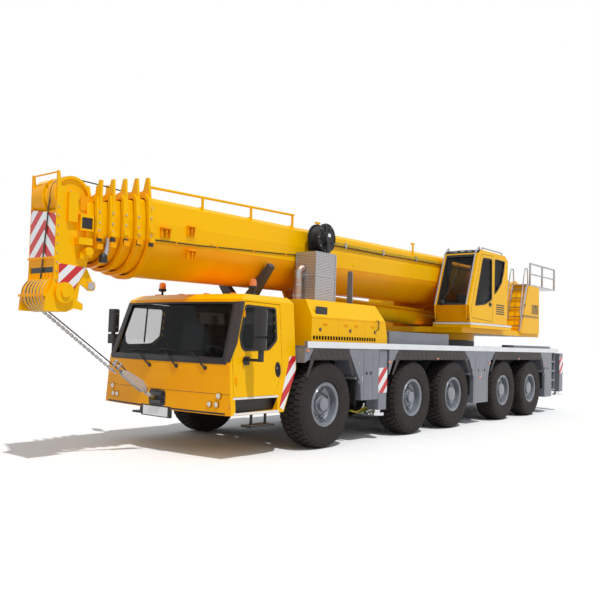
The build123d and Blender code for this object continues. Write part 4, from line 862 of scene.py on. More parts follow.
def sill(side, s):
    """White strips over and under the sill's recess, and its step tread."""
    m = Maker()
    for low, high in ((0.838, 0.866), (0.626, 0.655)):
        m.sheet(cab_side(s), rect(1.06, 2.0, low, high), 0.004, 0.008, WHITE)
    for k in range(13):
        x = 1.085 + 0.0375 * k
        m.block(x, x + 0.012, s * 1.14, s * 1.325, 0.4495, 0.456, STEEL)
    m.build(f"sill_{side}", bevel=0.0015, smooth=30)


def mirror_glass(side, s):
    """Mirror faces that look back, and the studs of the housings."""
    m = Maker()
    for low, high in ((1.545, 1.675), (1.73, 2.085)):
        m.prism([(X(1.7345), y, z) for y, z in rect(s * 1.565, s * 1.715, low, high)], (-0.003, 0, 0), CHROME)
    for z in (1.60, 1.80, 2.02):
        m.rod((X(1.775), s * 1.548, z), (X(1.805), s * 1.548, z), 0.004, STEEL, 8)
    m.build(f"mirror_glass_{side}", bevel=0.0015, smooth=30)


def side_stripes(side, s):
    """Slanted red and white panel behind the door."""
    m = Maker()
    m.sheet(cab_side(s), [(0.76, 1.43), (0.625, 1.44), (0.64, 1.20), (0.96, 0.645), (1.04, 0.70)], 0.003,
            0.005,
            SIDE_STRIPES)
    m.build(f"side_stripes_{side}", smooth=30)


def roof_fittings():
    """Beacons with foot, dark ring and amber dome, small roof lamps and roof ribs."""
    high = 0.25
    for side, s in SIDES:
        m = Maker()
        m.lathe([(0.055, 0), (0.055, 0.02), (0.040, 0.035), (0.018, 0.05), (0.018, high * 0.35),
                 (0.060, high * 0.4),
                 (0.066, high * 0.45), (0.066, high * 0.55), (0.058, high * 0.56), (0.056, high * 0.85),
                 (0.040, high * 0.97), (0.0, high)], (X(1.30), s * 1.02, CAB_ROOF), UP, LAMP_AMBER, 28,
                marks=[PLASTIC] * 8 + [LAMP_AMBER] * 3)
        m.build(f"beacon_{side}", smooth=40)
    m = Maker()
    for y in (-0.85, -0.28, 0.28, 0.85):
        m.block(1.50, 1.56, y - 0.045, y + 0.045, CAB_ROOF, CAB_ROOF + 0.028, LAMP_AMBER)
    for k in range(6):
        y = -0.75 + 0.3 * k
        # Roof ribs in the shaded copy of the yellow: painted shade
        m.block(-0.25, 1.25, y - 0.02, y + 0.02, CAB_ROOF - 0.0005, CAB_ROOF + 0.0075, SHADED_YELLOW)
    m.build("roof_fittings", bevel=0.004)


screen_frame()
wipers()
front_fittings()
roof_fittings()
for side, s in SIDES:
    door_trim(side, s)
    sill(side, s)
    mirror_glass(side, s)
    side_stripes(side, s)

# ---- boom head and hoist rope ----
TOP_SHEAVE = (13.50, 0.465, 0.26)
LOW_SHEAVE = (13.64, -0.79, 0.222)
ROPE_R = 0.0095
SOCKET = Vector((X(2.60), 0.0, 1.01))
ANCHOR = Vector((X(2.185), 0.0, 0.80))
ROPE_FOOT = boom(13.70, -0.95)
TO_HEAD = (ROPE_FOOT - SOCKET).normalized()


def head_panels():
    """Red and white panels on the head's front and side, a black sheet under them as the painted shade of a slot,
    and side plates in painted shade.
    """
    m = Maker()
    m.sheet(head_front, [(-0.285, -0.32), (0.285, -0.32), (0.285, 0.215), (-0.285, 0.30)], 0.003, 0.003,
            FRONT_STRIPES)
    # Painted shade: a black sheet stands for the shaded inside of the slot
    m.sheet(head_front, rect(-0.22, 0.27, -0.523, -0.455), 0.0025, 0.0025, BLACK_PAINT)
    for s in (1, -1):
        side = boom_side(HEAD_Y_LEFT if s > 0 else HEAD_Y, s)
        m.sheet(side, [(13.69, -0.406), (13.29, -0.43), (13.46, -0.712), (13.69, -0.70)], 0.004, 0.004,
                HEAD_STRIPES)
        # Painted shade: the side plates' recess takes the shaded copy of the yellow
        m.sheet(side, rounded([(13.05, 0.30), (13.42, 0.30), (13.42, 0.52), (13.05, 0.40)], 0.03), 0.003,
                0.003, SHADED_YELLOW)
    m.sheet(boom_side(0.360), rect(13.263, 13.422, 0.061, 0.204), 0.003, 0.004, BLACK_PAINT)
    m.build("head_panels", "boom_head", smooth=30)


def head_details():
    """Pins, cover bolts, links and lamp on the boom head."""
    m = Maker()
    for s in (1, -1):
        out = LEFT * s
        for x, z, r in ((13.50, 0.465, 0.055), (13.21, -0.662, 0.05), (13.64, -0.79, 0.05),
                        (13.02, -0.30, 0.035)):
            pin = boom(x, z, s * HEAD_Y)
            m.lathe([(r, 0), (r, 0.014), (r * 0.8, 0.018), (r * 0.3, 0.018), (0.0, 0.012)], pin, out, STEEL,
                    24)
            for p in circle(pin, r * 1.35, 4, 0.5, ALONG, UPRIGHT):
                m.bolt(p, out, 0.009, 0.010)
        for k in range(9):
            m.bolt(boom(13.715, 0.30 - 0.115 * k, s * HEAD_Y), out, 0.010, 0.010)
        m.rod(boom(13.10, 0.049, s * 0.36), boom(12.78, 0.028, s * 0.36), 0.013, CHROME, 12)
        # A collar in the shaded copy of the yellow: painted shade
        m.rod(boom(13.10, 0.049, s * 0.32), boom(13.10, 0.049, s * 0.37), 0.020, SHADED_YELLOW, 12)
    m.build("head_fittings", "boom_head")
    m = Maker()
    arm = ((13.04, -0.03, 0.40), (13.05, -0.12, 0.41), (13.09, -0.25, 0.42), (13.10, -0.30, 0.42))
    m.tube([boom(*p) for p in arm], 0.030, SILVER, 14)
    m.lathe([(0.0, 0.0), (0.050, 0.004), (0.058, 0.03), (0.050, 0.10), (0.020, 0.13), (0.0, 0.131)],
            boom(13.12, -0.36, 0.42), UPRIGHT, BLACK_PAINT, 20)
    m.build("head_lamp", "boom_head", smooth=40)


def head_sheaves():
    """Raised rings and groove lines of the sheaves."""
    m = Maker()
    x, z, r = TOP_SHEAVE
    for y in (-0.187, 0.187):
        m.lathe([(r * 0.80, -0.012), (r * 0.83, -0.014), (r * 0.86, -0.012), (r * 0.86, 0.012),
                 (r * 0.83, 0.014),
                 (r * 0.80, 0.012)], boom(x, z, y), LEFT, STEEL, 40, closed=True)
    x, z, r = LOW_SHEAVE
    for k in range(7):
        m.lathe([(r * 1.003, -0.004), (r * 1.006, -0.001), (r * 1.003, 0.004)], boom(x, z, -0.24 + 0.08 * k),
                LEFT,
                STEEL, 40)
    m.build("sheave_rims", "boom_head")


def strand_rope(m, path):
    """Laid rope: six strands wound round a path of points."""
    done = 0.0
    lines = [[] for _ in range(6)]
    a = None
    for i, p in enumerate(path):
        d = (path[min(i + 1, len(path) - 1)] - path[max(i - 1, 0)]).normalized()
        a = (d.cross(LEFT) if a is None else a - d * a.dot(d)).normalized()
        b = d.cross(a)
        if i:
            done += (p - path[i - 1]).length
        for line, w in zip(lines, turns(6)):
            w += done * 26
            line.append(p + (a * cos(w) + b * sin(w)) * ROPE_R * 0.62)
    for line in lines:
        m.tube(line, ROPE_R * 0.42, WIRE, 5)


def spread(points, step):
    """Points every step along straight runs between the given points."""
    found = [Vector(points[0])]
    for p, q in zip(points, points[1:]):
        count = max(1, round((q - p).length / step))
        found += [p.lerp(q, (k + 1) / count) for k in range(count)]
    return found


def hoist_rope():
    """Rope over the top sheave, down the head and taut to the wedge socket above the front coupling."""
    x, z, r = TOP_SHEAVE
    back = [boom(12.3, 0.655, 0.17), boom(12.9, 0.70, 0.17)]
    angles = [radians(100 - 105 * k / 12) for k in range(13)]
    top = [boom(x + cos(w) * (r - 0.004), z + sin(w) * (r - 0.004), 0.17) for w in angles]
    down = [boom(13.752, 0.30, 0.13), boom(13.755, -0.55, 0.02), ROPE_FOOT]
    m = Maker()
    strand_rope(m, spread(back + top + down + [SOCKET + TO_HEAD * 0.30], 0.035))
    m.build("hoist_rope", "boom_head", smooth=50)


def chain(m, start, end, half, radius, material):
    """Round-link chain in a straight run."""
    run = end - start
    d = run.normalized()
    a = d.cross(LEFT).normalized()
    b = d.cross(a)
    pitch = half * 1.35
    for k in range(max(2, int(run.length / pitch))):
        c = start + d * (k + 0.5) * pitch
        across = a if k % 2 else b
        link = []
        for w in turns(12):
            long_way = cos(w) * half * 0.55 + (half * 0.45 if cos(w) > 0 else -half * 0.45)
            link.append(c + d * long_way + across * sin(w) * half * 0.55)
        m.tube(link, radius, material, 6, closed=True)


def wedge_socket():
    """Tapered steel socket with its wedge and pin, the clamped tail, the shackle, and both chains."""
    m = Maker()
    up = TO_HEAD.cross(LEFT).normalized()

    def spot(a, b, c):
        return SOCKET + TO_HEAD * a + up * b + LEFT * c

    def plate(points, c, thick, material):
        m.prism([spot(a, b, c) for a, b in points], LEFT * thick, material)

    cheek = ((-0.20, -0.045), (0.22, -0.038), (0.28, -0.020), (0.28, 0.030), (0.20, 0.060), (-0.10, 0.095),
             (-0.24, 0.050), (-0.26, 0.0))
    for c in (-0.038, 0.028):
        plate(cheek, c, 0.010, WHITE_STEEL)
    plate(((-0.08, -0.045), (0.24, -0.036), (0.24, -0.018), (-0.08, -0.020)), -0.028, 0.056, STEEL)
    plate(((-0.08, 0.085), (0.18, 0.060), (0.18, 0.042), (-0.08, 0.062)), -0.028, 0.056, STEEL)
    plate(((-0.04, 0.0), (0.14, 0.006), (0.14, 0.030), (-0.04, 0.052)), -0.020, 0.040, WIRE)
    m.rod(spot(-0.20, 0.01, -0.055), spot(-0.20, 0.01, 0.055), 0.022, STEEL, 18)
    for s in (1, -1):
        m.bolt(spot(-0.20, 0.01, s * 0.055), LEFT * s, 0.030, 0.018)
    strand_rope(m, spread([spot(0.16, 0.045, 0), spot(0.34, 0.075, 0), spot(0.46, 0.055, 0)], 0.03))
    for a in (0.33, 0.42):
        plate(rect(a, a + 0.03, -0.014, 0.085), -0.022, 0.044, STEEL)
        for c in (-0.016, 0.016):
            m.bolt(spot(a + 0.015, 0.085, c), up, 0.010, 0.012)
    bow = [radians(-60 + 300 * k / 14) for k in range(15)]
    m.tube([SOCKET + TO_HEAD * (-0.31 - 0.055 * sin(w)) + LEFT * cos(w) * 0.05 for w in bow], 0.014, STEEL)
    m.build("wedge_socket", "boom_head", bevel=0.003)
    m = Maker()
    chain(m, spot(0.30, -0.04, -0.07), boom(13.66, -0.97, -0.13), 0.030, 0.0075, WHITE_STEEL)
    m.build("safety_chain", "boom_head", smooth=50)
    m = Maker()
    chain(m, SOCKET + TO_HEAD * -0.38, ANCHOR + AHEAD * 0.02, 0.020, 0.0065, STEEL)
    m.build("coupling_chain", smooth=50)


# ---- telescopic boom ----
def collar_bolts():
    """Adjusting bolts round each section's collar, and black pads below its crease as the collar's painted shadow.
    """
    for k in range(5):
        front = 12.51 + 0.18 * k
        half = 0.53 - 0.038 * k
        m = Maker()
        for s in (1, -1):
            for z in (0.44, 0.30, 0.16, 0.06):
                if z < 0.465 - 0.038 * k:
                    m.bolt(boom(front - 0.035, z, s * (half + 0.04)), LEFT * s, 0.014, 0.012)
            # Painted shadow: black pads below the crease stand for the collar's shadow
            shadow_pad = ((front - 0.072, -0.02), (front - 0.072, -0.085), (front, -0.085), (front, -0.02))
            m.boom_plate(shadow_pad, s * (half + 0.0405), s * 0.014, BLACK_PAINT)
        m.build(f"collar_bolts_{k}", f"boom_section_{k}" if k else "boom", smooth=30)


def boom_lines():
    """Weld seams and vent plugs along the base section, and the hoses from the reel with their clips."""
    m = Maker()
    for s in (1, -1):
        side = boom_side(BOOM_Y, s)
        m.sheet(side, rect(-0.4, 12.40, 0.003, 0.014), 0.0025, 0.004, YELLOW)
        for x in (11.3, 9.6, 7.6, 5.4, 3.2, 1.2):
            m.lathe([(0.030, 0), (0.030, 0.006), (0.022, 0.010), (0.0, 0.010)], side(x, 0.10), LEFT * s,
                    YELLOW, 20)
    m.build("boom_seams", "boom")
    m = Maker()
    for k, z in enumerate((0.455, 0.425, 0.395)):
        route = [boom(8.60, 0.44 - 0.02 * k, 0.60), boom(8.25, z, 0.545 + 0.004 * k)]
        route += [boom(x, z - dz, 0.545) for x, dz in ((6.5, 0.01), (4.0, 0), (2.0, 0.01))]
        m.tube(spread(route, 0.30), 0.011, HOSE_YELLOW if k < 2 else SEAL, 8)
    for x in (7.9, 6.6, 5.3, 4.0, 2.7):
        p = boom(x, 0.425, 0.53)
        m.box(p.x - 0.02, p.x + 0.02, p.y, p.y + 0.032, p.z - 0.055, p.z + 0.055, SILVER)
    m.build("boom_hoses", "boom", smooth=40)


def boom_side_parts():
    """Small folded brackets near the boom's front and the cable along its crease."""
    m = Maker()
    for x, z, wide in ((12.21, 0.14, 0.17), (11.74, 0.22, 0.13), (11.72, -0.12, 0.15)):
        for s in (1, -1):
            y = s * BOOM_Y
            # Brackets in the shaded copy of the yellow: painted shade
            m.boom_plate(rect(x - wide / 2, x + wide / 2, z + 0.07, z + 0.05), y, s * 0.07, SHADED_YELLOW)
            for q in (-0.5, -0.1, 0.35):
                web = x + wide * q
                m.boom_plate(rect(web, web + 0.016, z + 0.05, z - 0.07), y, s * 0.045, SHADED_YELLOW)
            m.rod(boom(x, z + 0.01, y), boom(x, z + 0.01, y + s * 0.055), 0.016, SHADED_YELLOW)
    m.build("boom_brackets", "boom", bevel=0.003)
    m = Maker()
    for s in (1, -1):
        route = ((12.40, 0.02), (11.6, 0.03), (10.8, 0.06), (9.9, 0.09), (9.25, 0.12))
        m.tube(spread([boom(x, z, s * 0.540) for x, z in route], 0.25), 0.008, SEAL, 8)
        for x, z in ((12.0, 0.025), (11.2, 0.045), (10.4, 0.073), (9.6, 0.103)):
            p = boom(x, z, s * BOOM_Y)
            # Clips in the shaded copy of the yellow: painted shade
            m.box(p.x - 0.012, p.x + 0.012, p.y, p.y + s * 0.020, p.z - 0.016, p.z + 0.016, SHADED_YELLOW)
    m.build("boom_cable", "boom", smooth=40)


def reel_details():
    """Spokes, rim bolts, hose turns and a blank tag on the hose reel."""
    m = Maker()
    x, z, r = 8.87, 0.435, 0.255
    c = boom(x, z, 0.836)
    for d in circle(Vector(), 1, 9):
        m.rod(c + d * 0.06, c + d * (r - 0.02), 0.008, PLASTIC, 8)
        m.bolt(c + d * (r - 0.03), LEFT, 0.009, 0.010)
    m.lathe([(r * 0.99, -0.004), (r, 0.004), (r * 0.97, 0.010), (r * 0.93, 0.006), (r * 0.93, -0.004)], c,
            LEFT,
            PLASTIC, 44, closed=True)
    m.lathe([(0.075, 0.0), (0.075, 0.018), (0.055, 0.030), (0.0, 0.032)], c, LEFT, BLACK_PAINT, 28)
    for k in range(6):
        m.lathe([(0.205, -0.012), (0.214, 0.0), (0.205, 0.012)], boom(x, z, 0.636 + 0.034 * k), LEFT, SEAL,
                40)
    m.build("reel_details", "boom")
    m = Maker()
    m.box(c.x - 0.055, c.x + 0.02, 0.8805, 0.883, c.z + 0.02, c.z + 0.075, WHITE)
    m.build("reel_tag", "boom", bevel=0.001)


def cylinder_details():
    """Gland bolts and bands on the luffing cylinder."""
    base = Vector(JOINTS["luffing_barrel_turn"]["pos_m"])
    axis = Vector(JOINTS["luffing_rod_slide"]["axis"]).normalized()
    m = Maker()
    # Bands in the shaded copy of the yellow: painted shade
    for a, wide in ((0.35, 0.05), (1.9, 0.035), (3.3, 0.035), (4.55, 0.06)):
        m.lathe([(0.165, 0), (0.174, 0.006), (0.174, wide - 0.006), (0.165, wide)], base + axis * a, axis,
                SHADED_YELLOW, 40)
    for p in circle(base + axis * 4.745, 0.140, 10, 0, axis.cross(LEFT), LEFT):
        m.bolt(p, axis, 0.013, 0.012)
    m.build("cylinder_bands", "luffing_barrel")


for make in (head_panels, head_details, head_sheaves, hoist_rope, wedge_socket, collar_bolts, boom_lines,
             boom_side_parts, reel_details, cylinder_details):
    make()

# ---- carrier ----
# front and rear of each wheel arch at its top, and lower down where it is wider
ARCHES = ((0.37, 0.51, -0.54, -0.66), (-2.14, -1.94, -4.76, -5.00), (-6.32, -6.08, -9.09, -9.24))


def hood_trim():
    """Hood latches, hinges, grab handle and upper vent, and the slats on the hood's top."""
    m = Maker()
    for s in (1, -1):
        side = flat_side(HOOD_Y, s)
        for x in (0.12, -0.70, -1.45):
            c = side(x, 1.86)
            m.lathe([(0.030, 0.0), (0.030, 0.006), (0.024, 0.009), (0.0, 0.009)], c, LEFT * s, PLASTIC, 20)
            m.box(c.x - 0.004, c.x + 0.004, c.y + s * 0.008, c.y + s * 0.014, c.z - 0.016, c.z + 0.016, STEEL)
        for x in (-0.05, -0.62, -0.92, -1.42):
            # Hinges in the shaded copy of the yellow: painted shade
            m.rod(side(x, 1.955, 0.008), side(x + 0.09, 1.955, 0.008), 0.010, SHADED_YELLOW, 10)
        m.sheet(side, rounded(rect(-0.08, 0.22, 2.10, 2.22), 0.02), -0.02, 0.004, BLACK_PAINT)
        m.tube([side(-1.50, z, off) for z, off in ((1.90, 0.0), (1.90, 0.045), (2.06, 0.045), (2.06, 0.0))],
               0.010,
               PLASTIC, 8)
    m.build("hood_trim")
    m = Maker()
    for k in range(9):
        y = -0.30 + 0.075 * k
        m.block(-1.75, 0.10, y - 0.012, y + 0.012, 2.019, 2.034, BLACK_PAINT)
    for s in (1, -1):
        for k in range(8):
            y = s * 0.62 + 0.06 * k
            m.block(-1.60, -0.95, y - 0.21, y - 0.185, 2.3295, 2.340, DARK_SLATE)
    m.build("hood_vents", bevel=0.003)


def guard_skin():
    """Perforated sheet round the exhaust guard, its edge straps and rivets, and the exhaust pipe."""
    x0, x1, y0, y1 = -0.80, -0.25, 0.575, 0.985
    low, high = HOOD_TOP, 3.16
    m = Maker()
    for sheet in ((x0 - 0.003, x1 + 0.003, y1, y1 + 0.004), (x1, x1 + 0.004, y0, y1),
                  (x0 - 0.004, x0, y0, y1),
                  (x0, x1, y0 - 0.004, y0)):
        m.block(*sheet, low, high, PERFORATED)
    m.build("guard_sheet", smooth=30)
    m = Maker()
    for z in (low + 0.01, (low + high) / 2, high - 0.03):
        m.block(x0 - 0.006, x1 + 0.006, y1 + 0.003, y1 + 0.008, z, z + 0.025, SILVER)
        m.block(x1 + 0.003, x1 + 0.008, y0, y1 + 0.008, z, z + 0.025, SILVER)
        for k in range(5):
            m.bolt((X(x0 + 0.05 + 0.11 * k), y1 + 0.008, z + 0.0125), LEFT, 0.008, 0.007)
            m.bolt((X(x1 + 0.008), y0 + 0.04 + 0.083 * k, z + 0.0125), AHEAD, 0.008, 0.007)
    for x, y in ((x0, y1), (x1, y1), (x1, y0)):
        m.block(x - 0.012, x + 0.012, y - 0.012, y + 0.012, low, high, SILVER)
    m.build("guard_straps", bevel=0.002, smooth=30)
    m = Maker()
    route = ((-0.155, 0.695, 2.34), (-0.155, 0.695, 2.70), (-0.16, 0.695, 2.80), (-0.19, 0.70, 2.86),
             (-0.245, 0.71, 2.88))
    m.tube([(X(x), y, z) for x, y, z in route], 0.077, BRONZE, 28)
    for z in (2.42, 2.60, 2.72):
        m.lathe([(0.077, -0.012), (0.084, -0.010), (0.084, 0.010), (0.077, 0.012)], (X(-0.155), 0.695, z), UP,
                STEEL,
                28)
    m.build("exhaust_pipe", smooth=45)


def deck_edge():
    """Steel discs along the white edge, at the lashing points, and joint covers across the deck."""
    m = Maker()
    for s in (1, -1):
        for k in range(24):
            m.lathe([(0.016, 0), (0.016, 0.002), (0.0, 0.002)],
                    (X(0.30 - 0.44 * k), s * (DECK_Y - 0.0025), 1.622),
                    LEFT * s, STEEL, 12)
    m.build("deck_rings")
    m = Maker()
    for s in (1, -1):
        for x in (-1.42, -1.93, -2.80, -3.70, -4.60, -5.60, -6.60, -7.60, -8.60, -9.50, -10.20):
            m.block(x - 0.006, x + 0.006, s * 1.02, s * 1.44, DECK_TOP - 0.0005, DECK_TOP + 0.004, DARK_SLATE)
    m.build("deck_joints", smooth=30)


def side_latches():
    """Latches, hinges and handles on the grey boxes below the deck."""
    m = Maker()
    for s in (1, -1):
        side = flat_side(BOX_Y, s)
        for x in (-1.09, -1.22, -5.12, -5.44, -5.75, -9.38, -9.60):
            m.lathe([(0.026, 0.0), (0.026, 0.004), (0.020, 0.007), (0.0, 0.007)], side(x, 1.16), LEFT * s,
                    PLASTIC, 18)
        for x in (-0.86, -5.36, -5.92, -9.30):
            for z in (0.98, 1.30):
                m.rod(side(x, z), side(x, z + 0.06), 0.008, SILVER, 10)
        for x in (-0.95, -5.56):
            m.tube([side(x, z, off) for z, off in ((1.02, 0.0), (1.02, 0.006), (1.12, 0.006), (1.12, 0.0))],
                   0.004,
                   CHROME, 6)
    m.build("box_latches")


def fenders():
    """Dark arch panels over the wheels, with a folded edge and pressed ribs."""
    m = Maker()
    for s in (1, -1):
        side = flat_side(BOX_Y, s)
        for front, front_low, rear, rear_low in ARCHES:
            m.sheet(side, [(front + 0.02, 1.566), (front_low + 0.045, 1.12), (front_low, 1.12),
                           (front, 1.384),
                           (rear, 1.384), (rear_low, 1.12), (rear_low - 0.045, 1.12), (rear - 0.02, 1.566)],
                    0.004,
                    0.006, FENDER)
            m.sheet(side, rect(front, rear, 1.384, 1.396), 0.012, 0.010, PLASTIC)
            count = round((front - rear) / 0.16)
            for k in range(1, count):
                x = front + (rear - front) * k / count
                m.sheet(side, [(x - 0.05, 1.42), (x - 0.035, 1.42), (x + 0.045, 1.55), (x + 0.03, 1.55)],
                        0.008,
                        0.006, FENDER)
    m.build("fender_panels", bevel=0.002, smooth=30)


def rear_blade():
    """Slate upright blade behind the exhaust guard, on its dark foot plate."""
    m = Maker()
    blade = ((0.84, 2.34), (0.96, 2.34), (0.95, 2.90), (0.93, 2.94), (0.87, 2.94), (0.85, 2.90))
    m.prism([(X(-1.36), y, z) for y, z in blade], (-0.02, 0, 0), SLATE)
    m.block(-1.50, -1.24, 0.78, 1.02, 2.33, 2.345, BLACK_PAINT)
    for k in range(4):
        m.bolt((X(-1.47 + 0.2 * (k % 2)), 0.81 + 0.18 * (k // 2), 2.345), UP, 0.012, 0.010)
    m.build("rear_blade", bevel=0.003, smooth=30)


def hanging_hoses():
    """Air and hydraulic hoses with their bracket below the front outrigger boxes."""
    m = Maker()
    for s in (1, -1):
        for k, shade in enumerate((HOSE_GREEN, HOSE_YELLOW, SEAL, HOSE_YELLOW)):
            y = s * (1.12 + 0.035 * k)
            m.tube([(X(-1.02 - 0.055 * q), y, 0.47 + 0.030 * sin(pi * q / 14 * 2.5 + k) + 0.015 * k)
                    for q in range(15)], 0.015, shade, 8)
        for x in (-1.08, -1.38, -1.70):
            m.block(x, x + 0.04, s * 1.08, s * 1.27, 0.415, 0.43, PLASTIC)
            m.block(x, x + 0.04, s * 1.08, s * 1.095, 0.43, 0.75, PLASTIC)
    m.build("air_hoses", smooth=45)


def mud_flaps():
    """Ribbed rubber flaps behind the wheels, with clamp strips."""
    m = Maker()
    for s in (1, -1):
        for x in (-0.83, -5.10, -9.32):
            m.block(x, x + 0.012, s * 1.16, s * 1.46, 0.64, 1.10, SEAL)
            for k in range(5):
                y = 1.19 + 0.055 * k
                m.block(x + 0.010, x + 0.018, s * y, s * (y + 0.015), 0.66, 1.06, SEAL)
            m.block(x - 0.006, x + 0.020, s * 1.16, s * 1.46, 1.06, 1.10, SILVER)
    m.build("mud_flaps", bevel=0.002, smooth=30)


def outrigger_panels():
    """Striped end plates on the four outrigger beams."""
    for place, middle_z in (("front", 1.03), ("rear", 1.23)):
        for side, s in SIDES:
            body = f"outrigger_beam_{place}_{side}"
            low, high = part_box(body)
            y = max(high.y, -low.y)
            low.z, high.z = max(low.z, middle_z - 0.23), min(high.z, middle_z + 0.23)
            m = Maker()
            m.box(low.x + 0.012, high.x - 0.012, s * y, s * (y + 0.003), low.z + 0.012, high.z - 0.012,
                  SIDE_STRIPES)
            for x in (low.x + 0.035, high.x - 0.035):
                for z in (low.z + 0.04, high.z - 0.04):
                    m.bolt((x, s * (y + 0.003), z), LEFT * s, 0.010, 0.007)
            m.build(f"stripe_plate_{place}_{side}", body, smooth=30)


def rear_lamps():
    """Round tail lamps with chromed rims, and striped plates."""
    m = Maker()
    for s in (1, -1):
        for y, shade in ((1.02, LAMP_RED), (0.90, LAMP_AMBER), (0.78, LAMP_GLASS)):
            m.lathe([(0.052, 0), (0.052, 0.010), (0.045, 0.014), (0.043, 0.010), (0.030, 0.018),
                     (0.0, 0.020)],
                    (X(REAR_X), s * y, 1.10), -AHEAD, shade, 28,
                    marks=[PLASTIC, CHROME, CHROME, shade, shade])
        m.block(REAR_X - 0.004, REAR_X, s * 0.30, s * 0.62, 1.03, 1.17, REAR_STRIPES)
    m.build("tail_lamps")


def axle_details():
    """Bolts on the drive heads, and brake cylinders."""
    m = Maker()
    for axle in range(1, 6):
        x = wheel_centre(axle, "left").x
        for s in (1, -1):
            for p in circle(Vector((x + 0.226, 0, HUB_Z)), 0.15, 8, 0, LEFT, UP):
                m.bolt(p, AHEAD, 0.012, 0.010)
            m.lathe([(0.0, 0), (0.075, 0.004), (0.085, 0.02), (0.085, 0.11), (0.070, 0.14), (0.020, 0.15),
                     (0.020, 0.20)], (x - 0.12, s * 0.62, HUB_Z + 0.16), LEFT * s, BLACK_PAINT, 20)
    m.build("axle_bolts")


for make in (hood_trim, guard_skin, deck_edge, side_latches, fenders, rear_blade, hanging_hoses, mud_flaps,
             outrigger_panels, rear_lamps, axle_details):
    make()

# ---- superstructure and crane cab ----
CRANE_Y = 1.45
CRANE_DOOR_WINDOW = ((-5.31, 2.56), (-5.66, 3.62), (-6.13, 3.64), (-6.15, 2.74), (-5.80, 2.62))
CRANE_DOOR = ((-5.16, 2.29), (-5.13, 2.52), (-5.58, 3.70), (-6.20, 3.72), (-6.22, 2.24))
CRANE_QUARTER = ((-6.30, 3.66), (-6.30, 2.86), (-6.68, 3.16), (-6.85, 3.66))
WINCH_X, WINCH_Z, WINCH_R = -10.23, 2.62, 0.272
ROPE_TURNS, ROPE_PITCH = 38, 0.024


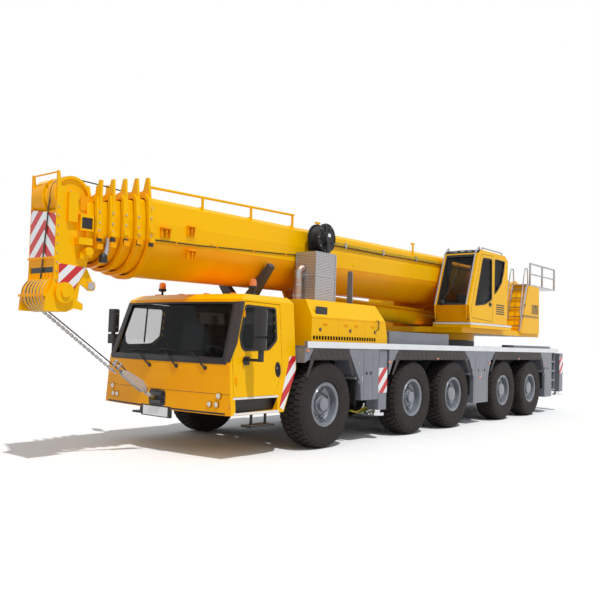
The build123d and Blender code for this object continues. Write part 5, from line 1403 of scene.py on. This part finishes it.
def crane_cab_trim():
    """Window and door seals, handle, rear vent, wiper, roof lamps and sill edge."""
    m = Maker()
    side = flat_side(CRANE_Y)
    m.ring(side, rounded(CRANE_DOOR_WINDOW, 0.05), 0.016, 0.016, 0.004, 0.008, SEAL)
    m.ring(side, rounded(CRANE_QUARTER, 0.05), 0.014, 0.014, 0.004, 0.008, SEAL)
    m.ring(side, rounded(CRANE_DOOR, 0.03), -0.004, 0.008, 0.002, 0.006, SEAL)
    m.sheet(side, oval((-6.07, 2.62), 0.075, 0.05, 24), 0.005, 0.008, BLACK_PAINT)
    grip = ((-6.12, 0.004), (-6.11, 0.026), (-6.03, 0.026), (-6.02, 0.004))
    m.tube([side(x, 2.625, off) for x, off in grip], 0.008, PLASTIC, 8)
    for k in range(5):
        z = 2.42 + 0.05 * k
        m.sheet(side, rect(-6.40, -6.85, z, z + 0.025), 0.003, 0.005, BLACK_PAINT)
    m.frame(crane_front, rect(0.72, 1.35, 2.60, 3.64), rect(0.685, 1.385, 2.555, 3.695), 0.004, 0.008, SEAL)
    arm = ((0.80, 2.62, 0.015), (0.95, 2.90, 0.030), (1.02, 3.20, 0.022))
    m.tube([crane_front(*p) for p in arm], 0.010, PLASTIC, 8)
    m.tube([crane_front(1.00, 2.95, 0.014), crane_front(1.03, 3.50, 0.014)], 0.007, SEAL, 6)
    m.lathe([(0.060, -0.02), (0.060, 0.02), (0.040, 0.035), (0.0, 0.037)], crane_front(0.80, 2.60),
            (1, 0, 0.3),
            PLASTIC, 20)
    m.build("crane_cab_trim", "crane_cab")
    m = Maker()
    m.block(-5.60, -5.50, 0.80, 1.27, 3.795, 3.7999, PLASTIC)
    for y in (0.86, 1.03, 1.20):
        m.block(-5.512, -5.502, y - 0.05, y + 0.05, 3.735, 3.785, LAMP_GLASS)
    m.build("crane_cab_lamps", "crane_cab", bevel=0.003)
    m = Maker()
    m.block(-7.25, -5.08, 1.46, 1.466, 2.14, 2.182, WHITE)
    m.block(-5.08, -5.074, 0.58, 1.466, 2.14, 2.182, WHITE)
    m.build("crane_cab_sill", "crane_cab", bevel=0.002)


def winch_rope():
    """Turns of rope laid side by side on the winch drum."""
    m = Maker()
    route = []
    for k in range(ROPE_TURNS * 24 + 1):
        w = 2 * pi * k / 24
        y = ROPE_PITCH * (k / 24 - ROPE_TURNS / 2)
        route.append((X(WINCH_X) + cos(w) * WINCH_R, y, WINCH_Z + sin(w) * WINCH_R))
    m.tube(route, 0.0115, WIRE, 6)
    m.build("winch_rope", "slew", smooth=60)


def slew_details():
    """Bolt circle of the slewing ring and its drives, housing latches and vents, and hoses on the plate."""
    m = Maker()
    for p in circle(Vector((X(-6.30), 0, 2.0795)), 0.80, 48, 0, AHEAD, LEFT):
        m.bolt(p, UP, 0.014, 0.014)
    for y in (-0.30, 0.30):
        m.lathe([(0.11, 0), (0.11, 0.05), (0.09, 0.06), (0.09, 0.20), (0.07, 0.22), (0.0, 0.22)],
                (X(-5.75), y, 2.08),
                UP, DARK_SLATE, 28)
    m.build("slew_bolts", "slew")
    m = Maker()
    for s in (1, -1):
        y = s * 1.3005
        for x in (-8.5, -9.2):
            m.lathe([(0.026, 0), (0.026, 0.005), (0.0, 0.006)], (X(x), y, 2.75), LEFT * s, PLASTIC, 18)
        for z in (2.45, 2.47, 2.49):
            m.block(-9.42, -8.32, y - 0.002, y + 0.003, z, z + 0.008, DARK_SLATE)
    for k in range(10):
        z = 2.55 + 0.025 * k
        m.block(-9.40, -8.95, 1.2995, 1.304, z, z + 0.012, BLACK_PAINT)
    m.build("housing_trim", "slew")
    m = Maker()
    for k in range(4):
        y = 0.20 + 0.045 * k
        route = [Vector((X(-9.0 + 0.35 * q), y * (1 if q % 2 else 1.05), 2.10 + 0.05 * sin(q * 0.9 + k)))
                 for q in range(9)]
        m.tube(route, 0.016, SEAL, 8)
        m.tube([(p.x, -p.y, p.z) for p in route], 0.016, SEAL, 8)
    m.build("plate_hoses", "slew", smooth=45)


crane_cab_trim()
winch_rope()
slew_details()
